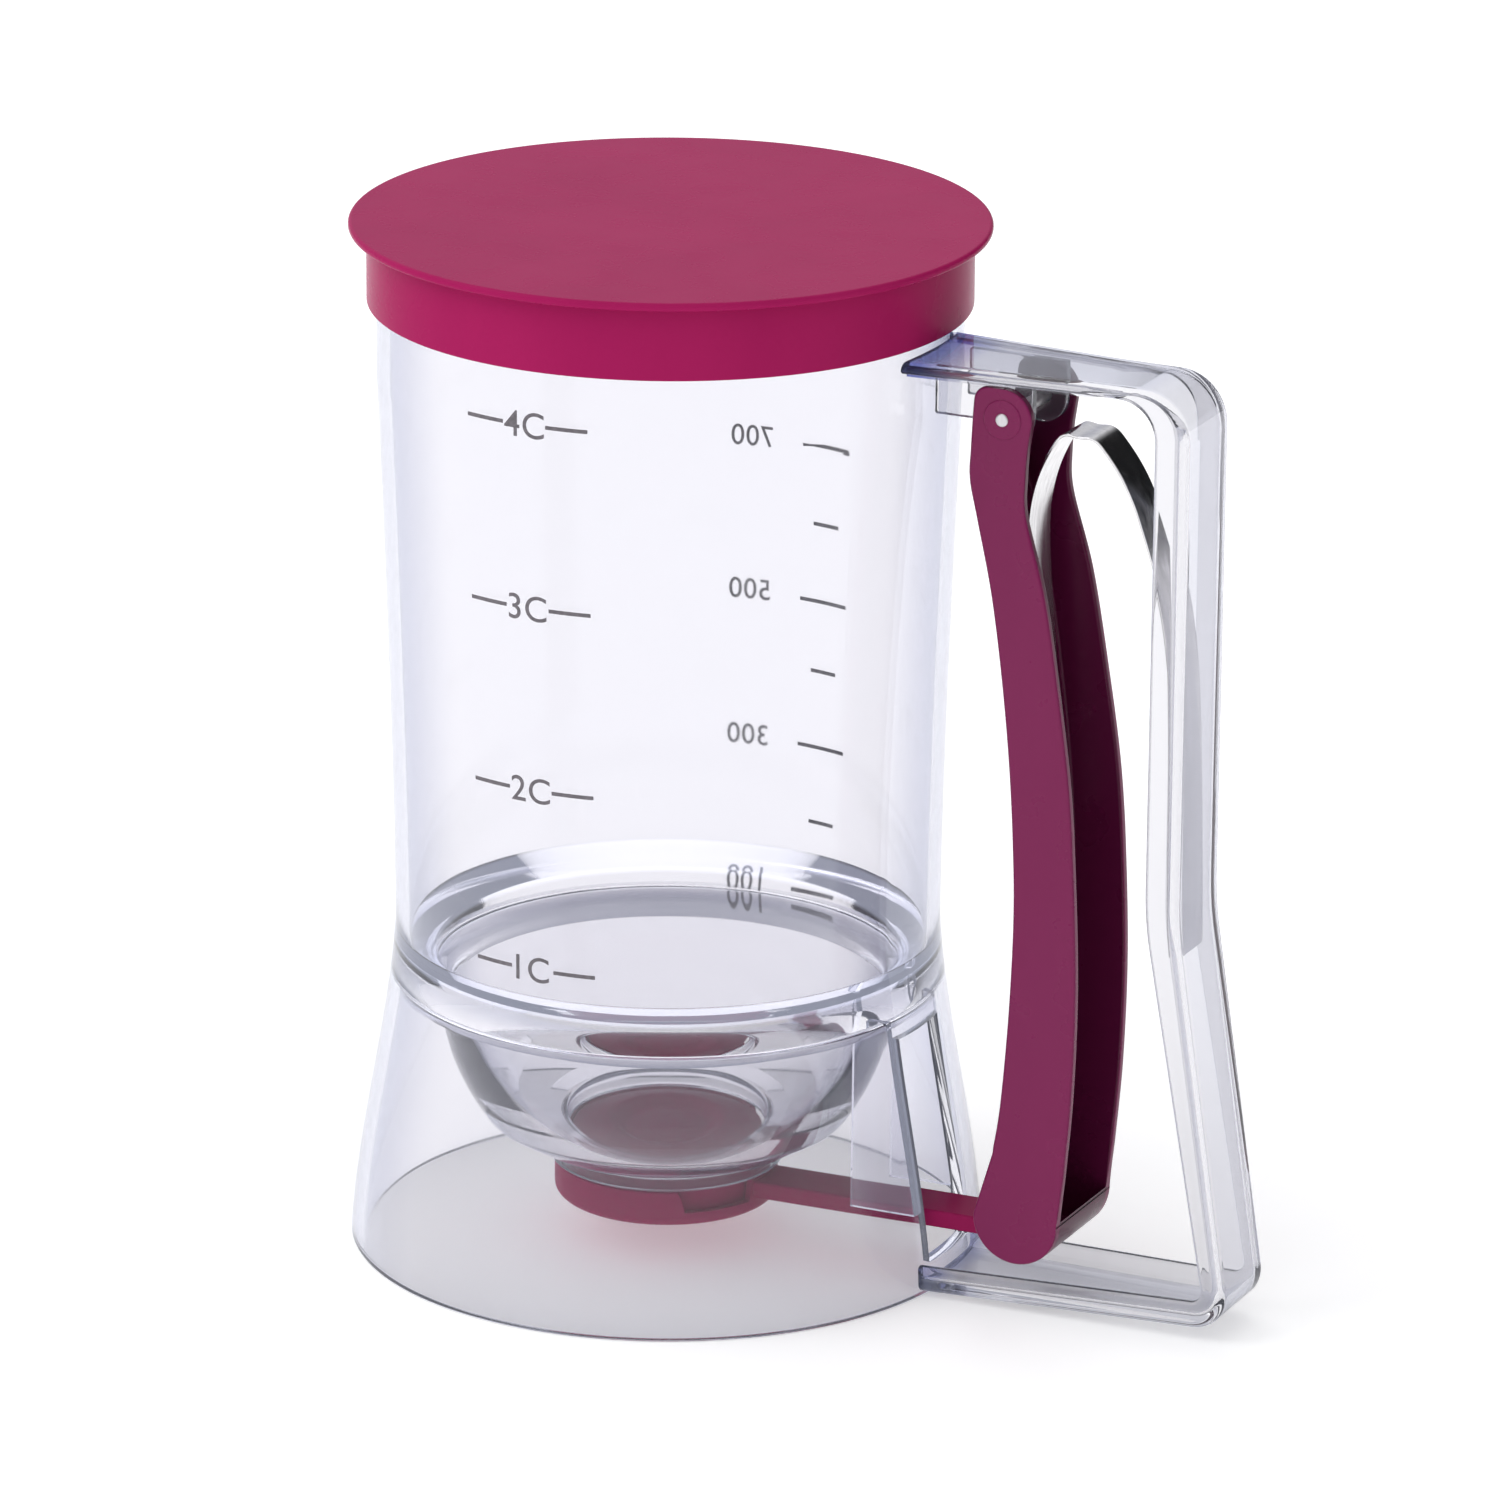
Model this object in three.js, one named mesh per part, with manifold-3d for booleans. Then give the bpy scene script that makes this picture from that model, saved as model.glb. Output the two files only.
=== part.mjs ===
// Squeeze-handle batter dispenser, lengths in millimetres, +Z up.
// A clear hopper stands on a flared skirt. A clear loop handle carries a coloured trigger, hung on a
// pin at the top and pushed back by a bent steel leaf. The trigger's lower end holds an arm that
// reaches through a doorway in the skirt and carries the cup that closes the hopper's outlet.
// The hopper's axis is the working axis here, with the handle along +X; the finished group is then
// moved so that its origin is the middle of its footprint.

import * as THREE from 'three';
import { mergeVertices } from 'three/addons/utils/BufferGeometryUtils.js';
import Module from 'manifold-3d';

const wasm = await Module();
wasm.setup();

// Clearances, the overrun of cuts and the number of facets
const overrun = 2;
const runningGap = 0.3;
const pinClearance = 0.1;
const roundSegments = 60;
const cornerSteps = 6;

// Lid
const lidRadius = 57;
const lidPlate = 1.5;
const lidBandRadius = 53.8;
const lidBandDepth = 14.7;
const lidBandClearance = 0.2;

// Hopper wall
const hopperHeight = 188.6;
const hopperRimRadius = 52.2;
const hopperWaistRadius = 49.3;
const hopperTaperTop = 162;
const hopperTaperPower = 1.5;
const hopperWall = 2.4;
const waistHeight = 60.6;
const lipDrop = 5.4;
const lipWall = 1.1;

// Funnel bowl
const bowlRadius = 41.3;
const bowlWall = 2.2;
const bowlCentreHeight = 48.4;
const flangeThickness = 3.7;
const collarRadius = 21.7;
const collarBore = 19.3;
const collarBottom = 14.6;
const collarTop = 18.6;
const bowlOuterEnd = 17.6;
const bowlInnerEnd = 19.8;

// Skirt
const baseRadius = 57.7;
const baseWall = 2.4;
const flareShare = 0.55;
const ledgeWidth = 2.6;
const ledgeThickness = 1.8;
const doorHalfWidth = 8;
const doorSill = 5.6;
const doorTop = 47;
const guideInnerX = 41;
const guideBottom = 14;
const guideThickness = 1.6;

// Valve cup
const cupRadius = 20.5;
const cupDepth = 7.2;
const cupFloor = 2;
const cupWall = 1.8;
const plugRadius = 18;
const plugRise = 4;
const cupNotchStart = 16;
const cupNotchEnd = 56;
const cupNotchLift = 2.8;

// Valve arm
const armHalfWidth = 5;
const armThickness = 3.2;
const armLift = 3;
const armClimb = 1;
const armHeadHalfWidth = 6.5;
const armHeadLength = 3;
const armHeadLift = 1.2;

// Trigger: its furthest reach towards the post from the pin, and its shape as shares of its length
// from the pin to the toe and of that reach, the share of the length first
const pivotX = 69.5;
const pivotDrop = 8.2;
const triggerBow = 16.3;
const triggerToeDrop = 1.8;
const triggerTopHalfWidth = 10.4;
const triggerLowHalfWidth = 11.8;
const triggerWall = 1.9;
const triggerWeb = 2;
const triggerEarRadius = 5.5;
const triggerEarCorner = 1.8;
const triggerToeRadius = 8.2;
const triggerToeOffset = 5.3;
const triggerWebDrop = 6.7;
const triggerBackShares = [[0, -0.362], [0.039, -0.38], [0.074, -0.387], [0.12, -0.288],
  [0.21, -0.092], [0.325, 0.074], [0.442, 0.19], [0.56, 0.245], [0.681, 0.215], [0.804, 0.129],
  [0.866, 0.043]];
const triggerFrontShares = [[0.03, 0.294], [0.066, 0.27], [0.111, 0.288], [0.201, 0.528],
  [0.316, 0.724], [0.431, 0.883], [0.549, 0.963], [0.668, 1], [0.789, 0.969], [0.89, 0.89]];

// Pivot block and pin
const blockHalfWidth = 8;
const blockReach = 14.1;
const blockDrop = 1.3;
const blockBossRadius = 4.6;
const pinRadius = 1.3;

// Handle frame
const handleDrop = 15.2;
const topArmThickness = 2.1;
const topArmRecess = 0.9;
const topArmRootHalfWidth = 12;
const topArmEndX = 88;
const postHalfWidth = 9.2;
const postOuterX = 104;
const postInnerX = 97.6;
const outerCornerCut = 11;
const innerCornerCut = 8;
const kneeHeight = 77;
const kneeCut = 12;
const footOuterX = 115.4;
const footInnerX = 110.4;
const footHeight = 7.6;
const footCut = 8;
const footBottom = 2.6;
const channelWeb = 2.1;
const channelFlange = 1.8;
const bottomArmRootHalfWidth = 11;
const bottomArmEndX = 101;
const bottomArmRoot = 0.9;
const bottomArmDepth = 5;

// Leaf spring: the heights of its bends as shares of the trigger's length below the pin
const springThickness = 0.5;
const springWidth = 9;
const springFootShare = 0.496;
const springKneeOut = 2.7;
const springKneeShare = 0.123;
const springCrestOut = 12;
const springCrestDrop = 3.2;
const springCrestSpan = 9;
const springShoulderOut = 23.7;
const springShoulderShare = 0.107;
const springEndShare = 0.612;

// Values that follow
const lidTop = hopperHeight + lidPlate + runningGap;
const waistBore = hopperWaistRadius - hopperWall;
const flangeTop = waistHeight - lipDrop;
const flangeBottom = flangeTop - flangeThickness;
const ledgeBottom = flangeBottom - ledgeThickness;
const handleTop = hopperHeight - handleDrop;
const topArmUnderside = handleTop - topArmThickness;
const pivotHeight = handleTop - pivotDrop;
const cupBottom = collarBottom - cupDepth;
const armInnerHeight = cupBottom + armLift;
const armOuterHeight = armInnerHeight + armClimb;
const armEndX = pivotX + triggerToeOffset;
const triggerLength = pivotHeight - armOuterHeight + triggerToeDrop;

// Evenly spaced values from low to high, both ends included
function steps(low, high, count) {
  return Array.from({ length: count + 1 }, (_, i) => low + (high - low) * i / count);
}

// Radius of the hopper's outer face at a height: straight under the lid, drawn in towards the waist
function hopperOuter(height) {
  const share = THREE.MathUtils.inverseLerp(waistHeight, hopperTaperTop, height);
  const rise = THREE.MathUtils.clamp(share, 0, 1) ** hopperTaperPower;
  return THREE.MathUtils.lerp(hopperWaistRadius, hopperRimRadius, rise);
}

// Radius of the skirt's outer face at a height: a flare between a straight cone and a soft S
function skirtOuter(height) {
  const share = THREE.MathUtils.clamp(1 - height / waistHeight, 0, 1);
  const flare = THREE.MathUtils.lerp(share, THREE.MathUtils.smoothstep(share, 0, 1), flareShare);
  return THREE.MathUtils.lerp(hopperWaistRadius, baseRadius, flare);
}

// Points of an arc as [across, up] pairs, angles in degrees
function arc(centreX, centreY, radius, from, to, count = cornerSteps) {
  return steps(from, to, count).map((degrees) => {
    const angle = THREE.MathUtils.degToRad(degrees);
    return [centreX + radius * Math.cos(angle), centreY + radius * Math.sin(angle)];
  });
}

function vectors(points) {
  return points.map(([x, y]) => new THREE.Vector2(x, y));
}

// A smooth line through points
function smooth(points, count) {
  return new THREE.SplineCurve(vectors(points)).getPoints(count).map((p) => [p.x, p.y]);
}

// A closed outline of [x, y, cut] corners, each rounded by a curve that starts a cut's length away
function rounded(corners) {
  return corners.flatMap(([x, y, cut], i) => {
    if (!cut) return [[x, y]];
    const corner = new THREE.Vector2(x, y);
    const [before, after] = [corners.at(i - 1), corners[(i + 1) % corners.length]].map((other) => {
      const away = new THREE.Vector2(other[0], other[1]).sub(corner);
      return away.setLength(cut).add(corner);
    });
    const curve = new THREE.QuadraticBezierCurve(before, corner, after);
    return curve.getPoints(cornerSteps + 1).map((p) => [p.x, p.y]);
  });
}

// A closed profile of [radius, height] pairs turned about the vertical axis
function turned(points, segments = roundSegments) {
  const geometry = new THREE.LatheGeometry(vectors([...points, points[0]]), segments);
  return geometry.rotateX(Math.PI / 2);
}

function slab(points, depth) {
  const shape = new THREE.Shape(vectors(points));
  return new THREE.ExtrudeGeometry(shape, { depth, bevelEnabled: false });
}

// An outline in [x, z] pairs, made into a slab centred on y = 0
function sideSlab(points, halfWidth) {
  return slab(points, 2 * halfWidth).rotateX(Math.PI / 2).translate(0, halfWidth, 0);
}

// An outline in [x, y] pairs, made into a slab between two heights
function planSlab(points, low, high) {
  return slab(points, high - low).translate(0, 0, low);
}

// A slab seen from the front, symmetric in y: [half width, z] pairs from the bottom up
function frontSlab(halfWidths, x0, x1) {
  const left = halfWidths.map(([y, z]) => [-y, z]).reverse();
  return slab([...halfWidths, ...left], x1 - x0).rotateX(Math.PI / 2).rotateZ(Math.PI / 2)
    .translate(x0, 0, 0);
}

function box(x0, x1, y0, y1, z0, z1) {
  const geometry = new THREE.BoxGeometry(x1 - x0, y1 - y0, z1 - z0);
  return geometry.translate((x0 + x1) / 2, (y0 + y1) / 2, (z0 + z1) / 2);
}

// A cylinder lying along Y, centred on y = 0
function crossRod(radius, halfLength, x, z) {
  const geometry = new THREE.CylinderGeometry(radius, radius, 2 * halfLength, roundSegments / 2);
  return geometry.translate(x, 0, z);
}

// A geometry as a solid that can be joined and cut
function solid(geometry) {
  const plain = geometry.clone();
  plain.deleteAttribute('normal');
  plain.deleteAttribute('uv');
  const merged = mergeVertices(plain);
  return new wasm.Manifold(new wasm.Mesh({
    numProp: 3,
    vertProperties: new Float32Array(merged.attributes.position.array),
    triVerts: new Uint32Array(merged.index.array),
  }));
}

// A joined or cut solid as a geometry
function geometryOf(body) {
  const mesh = body.getMesh();
  const geometry = new THREE.BufferGeometry();
  geometry.setAttribute('position', new THREE.BufferAttribute(mesh.vertProperties, 3));
  geometry.setIndex(new THREE.BufferAttribute(mesh.triVerts, 1));
  geometry.computeVertexNormals();
  return geometry;
}

// Lid: a flat disc that overhangs a band, which slips over the hopper's rim
function lid() {
  const underside = lidTop - lidPlate;
  const bandBottom = lidTop - lidBandDepth;
  const bandBore = hopperRimRadius + lidBandClearance;
  const edge = lidPlate / 2;
  return turned([
    [0, underside],
    [bandBore, underside],
    [bandBore, bandBottom],
    [lidBandRadius, bandBottom],
    [lidBandRadius, underside],
    ...arc(lidRadius - edge, lidTop - edge, edge, -90, 90),
    [0, lidTop],
  ]);
}

// Hopper wall: a slightly flared tube with a thin lip below the waist that locates it in the skirt
function hopperTube() {
  const heights = steps(waistHeight, hopperTaperTop, 6);
  const lipRadius = waistBore + lipWall;
  return turned([
    [waistBore, flangeTop],
    [lipRadius, flangeTop],
    [lipRadius, waistHeight],
    ...heights.map((z) => [hopperOuter(z), z]),
    [hopperRimRadius, hopperHeight],
    [hopperRimRadius - hopperWall, hopperHeight],
    ...heights.reverse().map((z) => [hopperOuter(z) - hopperWall, z]),
  ]);
}

// Angle at which a sphere on the bowl's centre stands at a height
function bowlAngle(height, radius) {
  return THREE.MathUtils.radToDeg(Math.asin((height - bowlCentreHeight) / radius));
}

// Funnel bowl: a flange that rests on the skirt's ledge, a round bowl and the outlet collar
function funnelBowl() {
  const inner = bowlRadius - bowlWall;
  const rim = (flangeTop - bowlCentreHeight) / 2;
  return turned([
    [collarBore, collarBottom],
    [collarRadius, collarBottom],
    ...arc(0, bowlCentreHeight, bowlRadius, bowlAngle(bowlOuterEnd, bowlRadius), 0, 9),
    [bowlRadius, flangeBottom],
    [waistBore - runningGap, flangeBottom],
    [waistBore - runningGap, flangeTop],
    ...arc(inner + rim, flangeTop - rim, rim, 90, 180),
    ...arc(0, bowlCentreHeight, inner, 0, bowlAngle(bowlInnerEnd, inner), 9),
    [collarBore, collarTop],
  ]);
}

// Skirt wall with the ledge that carries the bowl and the recess that takes the hopper's lip
function skirtShell() {
  const lipRecess = waistBore + lipWall + runningGap;
  const inside = steps(0, ledgeBottom - ledgeWidth, 7).reverse();
  return turned([
    ...steps(0, waistHeight, 11).map((z) => [skirtOuter(z), z]),
    [lipRecess, waistHeight],
    [lipRecess, flangeTop],
    [waistBore, flangeTop],
    [waistBore, flangeBottom],
    [waistBore - ledgeWidth, flangeBottom],
    [waistBore - ledgeWidth, ledgeBottom],
    ...inside.map((z) => [skirtOuter(z) - baseWall, z]),
  ]);
}

// Walls on both sides of the doorway that keep the arm on its line, from the skirt in to the bowl
function doorGuides() {
  const span = doorHalfWidth + guideThickness;
  const top = ledgeBottom + ledgeThickness / 2;
  const both = solid(box(guideInnerX, baseRadius, -span, span, guideBottom, top));
  const between = solid(box(guideInnerX - overrun, baseRadius + overrun, -doorHalfWidth, doorHalfWidth,
    guideBottom - overrun, top + overrun));
  const inside = solid(turned([
    [0, 0],
    ...steps(0, top, 8).map((z) => [skirtOuter(z) - baseWall / 2, z]),
    [0, top],
  ]));
  const bowlSpace = solid(new THREE.SphereGeometry(bowlRadius + runningGap, 40, 24)
    .translate(0, 0, bowlCentreHeight));
  return both.subtract(between).intersect(inside).subtract(bowlSpace);
}

// Skirt: the shell with its door guides and the doorway for the valve arm
function baseSkirt() {
  const doorway = solid(box(0, baseRadius + overrun, -doorHalfWidth, doorHalfWidth, doorSill, doorTop));
  return geometryOf(solid(skirtShell()).add(doorGuides()).subtract(doorway));
}

// Space that the hopper and the skirt take, grown by a gap, to seat the handle's roots against
function bodySpace() {
  const low = steps(0, waistHeight, 11);
  const high = steps(waistHeight, hopperTaperTop, 6).slice(1);
  return solid(turned([
    [0, -overrun],
    [baseRadius + runningGap, -overrun],
    ...low.map((z) => [skirtOuter(z) + runningGap, z]),
    ...high.map((z) => [hopperOuter(z) + runningGap, z]),
    [hopperRimRadius + runningGap, hopperHeight],
    [0, hopperHeight],
  ]));
}

// Plan of an arm that narrows from its root on the body to the post, drawn in by an inset
function armPlan(rootHalfWidth, endX, inset) {
  const root = rootHalfWidth - inset;
  const end = postHalfWidth - inset;
  return [[hopperWaistRadius, -root], [endX, -end], [endX, end], [hopperWaistRadius, root]];
}

// Top arm: a narrowing plate with a shallow recess on top, from the hopper to the post
function handleTopArm() {
  const plan = armPlan(topArmRootHalfWidth, topArmEndX, 0);
  const recessPlan = armPlan(topArmRootHalfWidth, topArmEndX - channelFlange, channelFlange);
  const plate = solid(planSlab(plan, topArmUnderside, handleTop));
  const recess = solid(planSlab(recessPlan, handleTop - topArmRecess, handleTop + overrun));
  return geometryOf(plate.subtract(recess).subtract(bodySpace()));
}

// Side outline of the post: its top corner, the upright, the knee and the splayed foot
function postOutline() {
  return rounded([
    [topArmEndX, topArmUnderside],
    [postInnerX, topArmUnderside, innerCornerCut],
    [postInnerX, kneeHeight, kneeCut],
    [footInnerX, footHeight],
    [bottomArmEndX, footHeight],
    [bottomArmEndX, footBottom],
    [footOuterX, footBottom, footCut],
    [postOuterX, kneeHeight, kneeCut],
    [postOuterX, handleTop, outerCornerCut],
    [topArmEndX, handleTop],
  ]);
}

// The room inside the post's channel, a web's thickness in from its outer side
function postHollow() {
  return rounded([
    [topArmEndX - overrun, topArmUnderside - overrun],
    [topArmEndX - overrun, handleTop - channelWeb],
    [postOuterX - channelWeb, handleTop - channelWeb, outerCornerCut - channelWeb],
    [postOuterX - channelWeb, kneeHeight, kneeCut],
    [footOuterX - channelWeb, footBottom + channelWeb, footCut - channelWeb],
    [bottomArmEndX - overrun, footBottom + channelWeb],
    [bottomArmEndX - overrun, footHeight + overrun],
    [footInnerX - overrun, footHeight + overrun],
    [postInnerX - overrun, kneeHeight, kneeCut],
    [postInnerX - overrun, topArmUnderside - overrun, innerCornerCut],
  ].reverse());
}

// Post: a channel, open towards the trigger
function handlePost() {
  const outline = solid(sideSlab(postOutline(), postHalfWidth));
  const hollow = solid(sideSlab(postHollow(), postHalfWidth - channelFlange));
  return geometryOf(outline.subtract(hollow));
}

// Bottom arm: a narrowing channel, open upwards, that rises from the skirt's foot to the post
function handleBottomArm() {
  const rootX = hopperWaistRadius;
  const side = (lift) => [[rootX, bottomArmRoot + lift], [bottomArmEndX, footBottom + lift],
    [bottomArmEndX, footHeight + lift], [rootX, bottomArmRoot + bottomArmDepth + lift]];
  const height = footHeight + channelWeb + overrun;
  const plan = armPlan(bottomArmRootHalfWidth, bottomArmEndX, 0);
  const groove = armPlan(bottomArmRootHalfWidth, bottomArmEndX + overrun, channelFlange);
  const body = solid(sideSlab(side(0), bottomArmRootHalfWidth)).intersect(solid(planSlab(plan, 0, height)));
  const hollow = solid(sideSlab(side(channelWeb), bottomArmRootHalfWidth))
    .intersect(solid(planSlab(groove, 0, height)));
  return geometryOf(body.subtract(hollow).subtract(bodySpace()));
}

// Pivot block: the rail under the top arm with a boss round the trigger's pin
function pivotBlock() {
  const rail = solid(box(pivotX - blockReach, pivotX + blockBossRadius, -blockHalfWidth, blockHalfWidth,
    pivotHeight - blockDrop, topArmUnderside));
  const boss = solid(crossRod(blockBossRadius, blockHalfWidth, pivotX, pivotHeight));
  const bore = solid(crossRod(pinRadius + pinClearance, blockHalfWidth + overrun, pivotX, pivotHeight));
  return geometryOf(rail.add(boss).subtract(bore));
}

// A line of the trigger's side outline, from its shares of the length and the bow
function triggerLine(shares) {
  const points = shares.map(([down, out]) => [pivotX + triggerBow * out, pivotHeight - triggerLength * down]);
  return smooth(points, 18);
}

// Side outline of the trigger's back, toe and front, drawn in by an inset at the back and the toe
function triggerOutline(inset) {
  const toeX = pivotX + triggerToeOffset;
  const toeHeight = pivotHeight - triggerLength + triggerToeRadius;
  return [
    ...triggerLine(triggerBackShares).map(([x, z]) => [x + inset, z]),
    ...arc(toeX, toeHeight, triggerToeRadius - inset, 180, 360, 10),
    ...triggerLine(triggerFrontShares).reverse(),
  ];
}

// Half widths of the trigger up its height, drawn in by an inset
function triggerWidths(inset) {
  const low = triggerLowHalfWidth - inset;
  const top = triggerTopHalfWidth - inset;
  const base = pivotHeight - triggerLength - overrun;
  return [[low, base], [low, pivotHeight - triggerLength / 2], [top, pivotHeight - triggerEarRadius * 2],
    [top, pivotHeight + triggerEarRadius + overrun]];
}

// Trigger: a long channel with its web towards the hopper and two ears at the pin
function trigger() {
  const backX = pivotX + triggerBow * triggerBackShares[2][1];
  const reach = pivotX + triggerBow + overrun;
  const ear = [
    ...arc(pivotX, pivotHeight, triggerEarRadius, 0, 90),
    ...arc(pivotX - triggerEarRadius + triggerEarCorner, pivotHeight + triggerEarRadius - triggerEarCorner,
      triggerEarCorner, 90, 180),
  ];
  const full = solid(sideSlab([...triggerOutline(0), ...ear], triggerLowHalfWidth))
    .intersect(solid(frontSlab(triggerWidths(0), backX - overrun, reach)));
  const channel = solid(sideSlab([...triggerOutline(triggerWeb), [reach, pivotHeight - triggerEarRadius],
    [reach, pivotHeight], [pivotX, pivotHeight]], triggerLowHalfWidth));
  const front = solid(sideSlab([...triggerLine(triggerFrontShares).map(([x, z]) => [x - overrun, z]),
    [reach, pivotHeight - triggerLength], [reach, pivotHeight]], triggerLowHalfWidth));
  const above = solid(box(backX - overrun, reach, -triggerLowHalfWidth, triggerLowHalfWidth,
    pivotHeight - triggerWebDrop, pivotHeight + triggerEarRadius + overrun));
  const inside = channel.add(front).add(above)
    .intersect(solid(frontSlab(triggerWidths(triggerWall), backX - overrun, reach)));
  const bore = solid(crossRod(pinRadius, triggerLowHalfWidth, pivotX, pivotHeight));
  const slot = solid(box(backX, armEndX + runningGap, -armHalfWidth - runningGap,
    armHalfWidth + runningGap, armOuterHeight - runningGap, armOuterHeight + armThickness + runningGap));
  return geometryOf(full.subtract(inside).subtract(bore).subtract(slot));
}

// Pin through the block's boss and the trigger's ears
function pivotPin() {
  return crossRod(pinRadius - pinClearance, triggerTopHalfWidth, pivotX, pivotHeight);
}

// Valve cup: a round dish, notched beside the arm, with a low dome that closes the collar's bore
function valveCup() {
  const rim = collarBottom - runningGap;
  const floorTop = cupBottom + cupFloor;
  const dome = steps(plugRadius, 0, 6).map((r) => [r, rim + plugRise * (1 - (r / plugRadius) ** 2)]);
  const dish = solid(turned([
    [0, cupBottom],
    ...arc(cupRadius - cupFloor, floorTop, cupFloor, -90, 0),
    [cupRadius, rim],
    [cupRadius - cupWall, rim],
    [cupRadius - cupWall, floorTop],
    [plugRadius, floorTop],
    ...dome,
  ]));
  const core = solid(turned([[0, cupBottom], [cupRadius - cupWall, cupBottom],
    [cupRadius - cupWall, collarBottom + plugRise + overrun], [0, collarBottom + plugRise + overrun]]));
  return geometryOf(dish.subtract(cupNotch(1).add(cupNotch(-1)).subtract(core)));
}

// A wedge that lowers the cup's rim on one side of the arm
function cupNotch(side) {
  const angles = [cupNotchStart, (cupNotchStart + cupNotchEnd) / 2, cupNotchEnd];
  const corners = angles.map((degrees) => new THREE.Vector2(cupRadius + overrun, 0)
    .rotateAround(new THREE.Vector2(), THREE.MathUtils.degToRad(degrees * side)));
  const outline = [[0, 0], ...corners.map((corner) => [corner.x, corner.y])];
  const ordered = side > 0 ? outline : outline.reverse();
  return solid(planSlab(ordered, cupBottom + cupNotchLift, collarBottom + overrun));
}

// Valve arm: a flat bar from the cup through the doorway, with a head that snaps behind the trigger's web
function valveArm() {
  const headHeight = armOuterHeight + armHeadLift;
  const bar = solid(sideSlab([
    [cupRadius / 2, armInnerHeight],
    [armEndX, armOuterHeight],
    [armEndX, armOuterHeight + armThickness],
    [cupRadius / 2, armInnerHeight + armThickness],
  ], armHalfWidth));
  const head = solid(box(armEndX - armHeadLength, armEndX, -armHeadHalfWidth, armHeadHalfWidth, headHeight,
    headHeight + armThickness));
  const cupSpace = solid(turned([[0, 0], [cupRadius + runningGap, 0],
    [cupRadius + runningGap, collarBottom], [0, collarBottom]]));
  return geometryOf(bar.add(head).subtract(cupSpace));
}

// Place on the inner face of the trigger's web at a height
function webFaceX(height) {
  const line = triggerLine(triggerBackShares);
  const i = line.findIndex(([, z]) => z <= height);
  const share = (line[i - 1][1] - height) / (line[i - 1][1] - line[i][1]);
  return THREE.MathUtils.lerp(line[i - 1][0], line[i][0], share) + triggerWeb;
}

// Middle line of the leaf spring: up the trigger's web, over a crest and down into the post
function springLine() {
  const rest = springThickness / 2 + runningGap;
  const [footAt, kneeAt, shoulderAt, endAt] = [springFootShare, springKneeShare,
    springShoulderShare, springEndShare].map((share) => pivotHeight - triggerLength * share);
  const foot = [webFaceX(footAt) + rest, footAt];
  const knee = [pivotX + springKneeOut, kneeAt];
  const crest = [pivotX + springCrestOut, pivotHeight - springCrestDrop];
  const shoulder = [pivotX + springShoulderOut, shoulderAt];
  const end = [postOuterX - channelWeb - rest, endAt];
  return [
    foot,
    [(foot[0] + knee[0]) / 2, (foot[1] + knee[1]) / 2],
    knee,
    [crest[0] - springCrestSpan / 2, crest[1] - springThickness * 3],
    crest,
    [crest[0] + springCrestSpan / 2, crest[1] - springThickness * 3],
    shoulder,
    [(shoulder[0] + 3 * end[0]) / 4, (2 * shoulder[1] + end[1]) / 3],
    end,
  ];
}

// Leaf spring: a strip of even thickness along its middle line
function leafSpring() {
  const curve = new THREE.SplineCurve(vectors(springLine()));
  const edge = (side) => steps(0, 1, 44).map((t) => {
    const at = curve.getPoint(t);
    const along = curve.getTangent(t);
    return [at.x - along.y * side, at.y + along.x * side];
  });
  const half = springThickness / 2;
  return sideSlab([...edge(half), ...edge(-half).reverse()], springWidth / 2);
}

const clearPlastic = { color: 0xdfe0ea, roughness: 0.08, metalness: 0, transparent: true, opacity: 0.35 };
const magentaPlastic = { color: 0x9d2450, roughness: 0.32, metalness: 0 };
const brightSteel = { color: 0xc9c9cc, roughness: 0.18, metalness: 1 };

const dispenser = new THREE.Group();

function place(name, geometry, finish) {
  const mesh = new THREE.Mesh(geometry, new THREE.MeshStandardMaterial(finish));
  mesh.name = name;
  dispenser.add(mesh);
}

place('lid', lid(), magentaPlastic);
place('hopper_wall', hopperTube(), clearPlastic);
place('funnel_bowl', funnelBowl(), clearPlastic);
place('base_skirt', baseSkirt(), clearPlastic);
place('handle_top_arm', handleTopArm(), clearPlastic);
place('handle_post', handlePost(), clearPlastic);
place('handle_bottom_arm', handleBottomArm(), clearPlastic);
place('pivot_block', pivotBlock(), clearPlastic);
place('trigger', trigger(), magentaPlastic);
place('pivot_pin', pivotPin(), brightSteel);
place('leaf_spring', leafSpring(), brightSteel);
place('valve_cup', valveCup(), magentaPlastic);
place('valve_arm', valveArm(), magentaPlastic);

const footprint = new THREE.Box3().setFromObject(dispenser).getCenter(new THREE.Vector3());
dispenser.position.x = -footprint.x;

export default dispenser;
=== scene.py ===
import math

import bmesh
import bpy
import numpy as np
from bpy.props import FloatProperty, FloatVectorProperty, PointerProperty
from bpy.types import Operator, Panel, PropertyGroup
from mathutils import Matrix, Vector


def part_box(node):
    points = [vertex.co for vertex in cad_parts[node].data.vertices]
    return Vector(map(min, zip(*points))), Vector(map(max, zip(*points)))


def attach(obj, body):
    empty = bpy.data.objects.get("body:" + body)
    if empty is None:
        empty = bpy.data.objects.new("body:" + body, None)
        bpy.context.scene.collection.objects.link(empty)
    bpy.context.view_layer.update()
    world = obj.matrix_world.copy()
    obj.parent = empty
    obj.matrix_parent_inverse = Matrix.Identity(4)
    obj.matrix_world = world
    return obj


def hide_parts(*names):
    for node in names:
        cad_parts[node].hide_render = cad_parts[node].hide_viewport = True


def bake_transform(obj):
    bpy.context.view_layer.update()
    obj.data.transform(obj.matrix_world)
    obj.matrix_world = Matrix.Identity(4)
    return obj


bl_info = {
    "name": "Batter Dispenser",
    "version": (1, 0, 0),
    "blender": (4, 5, 0),
    "location": "View3D > Sidebar > Dispenser",
    "description": "Builds a squeeze-handle batter dispenser round its packed frame",
    "category": "Object",
}

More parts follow.
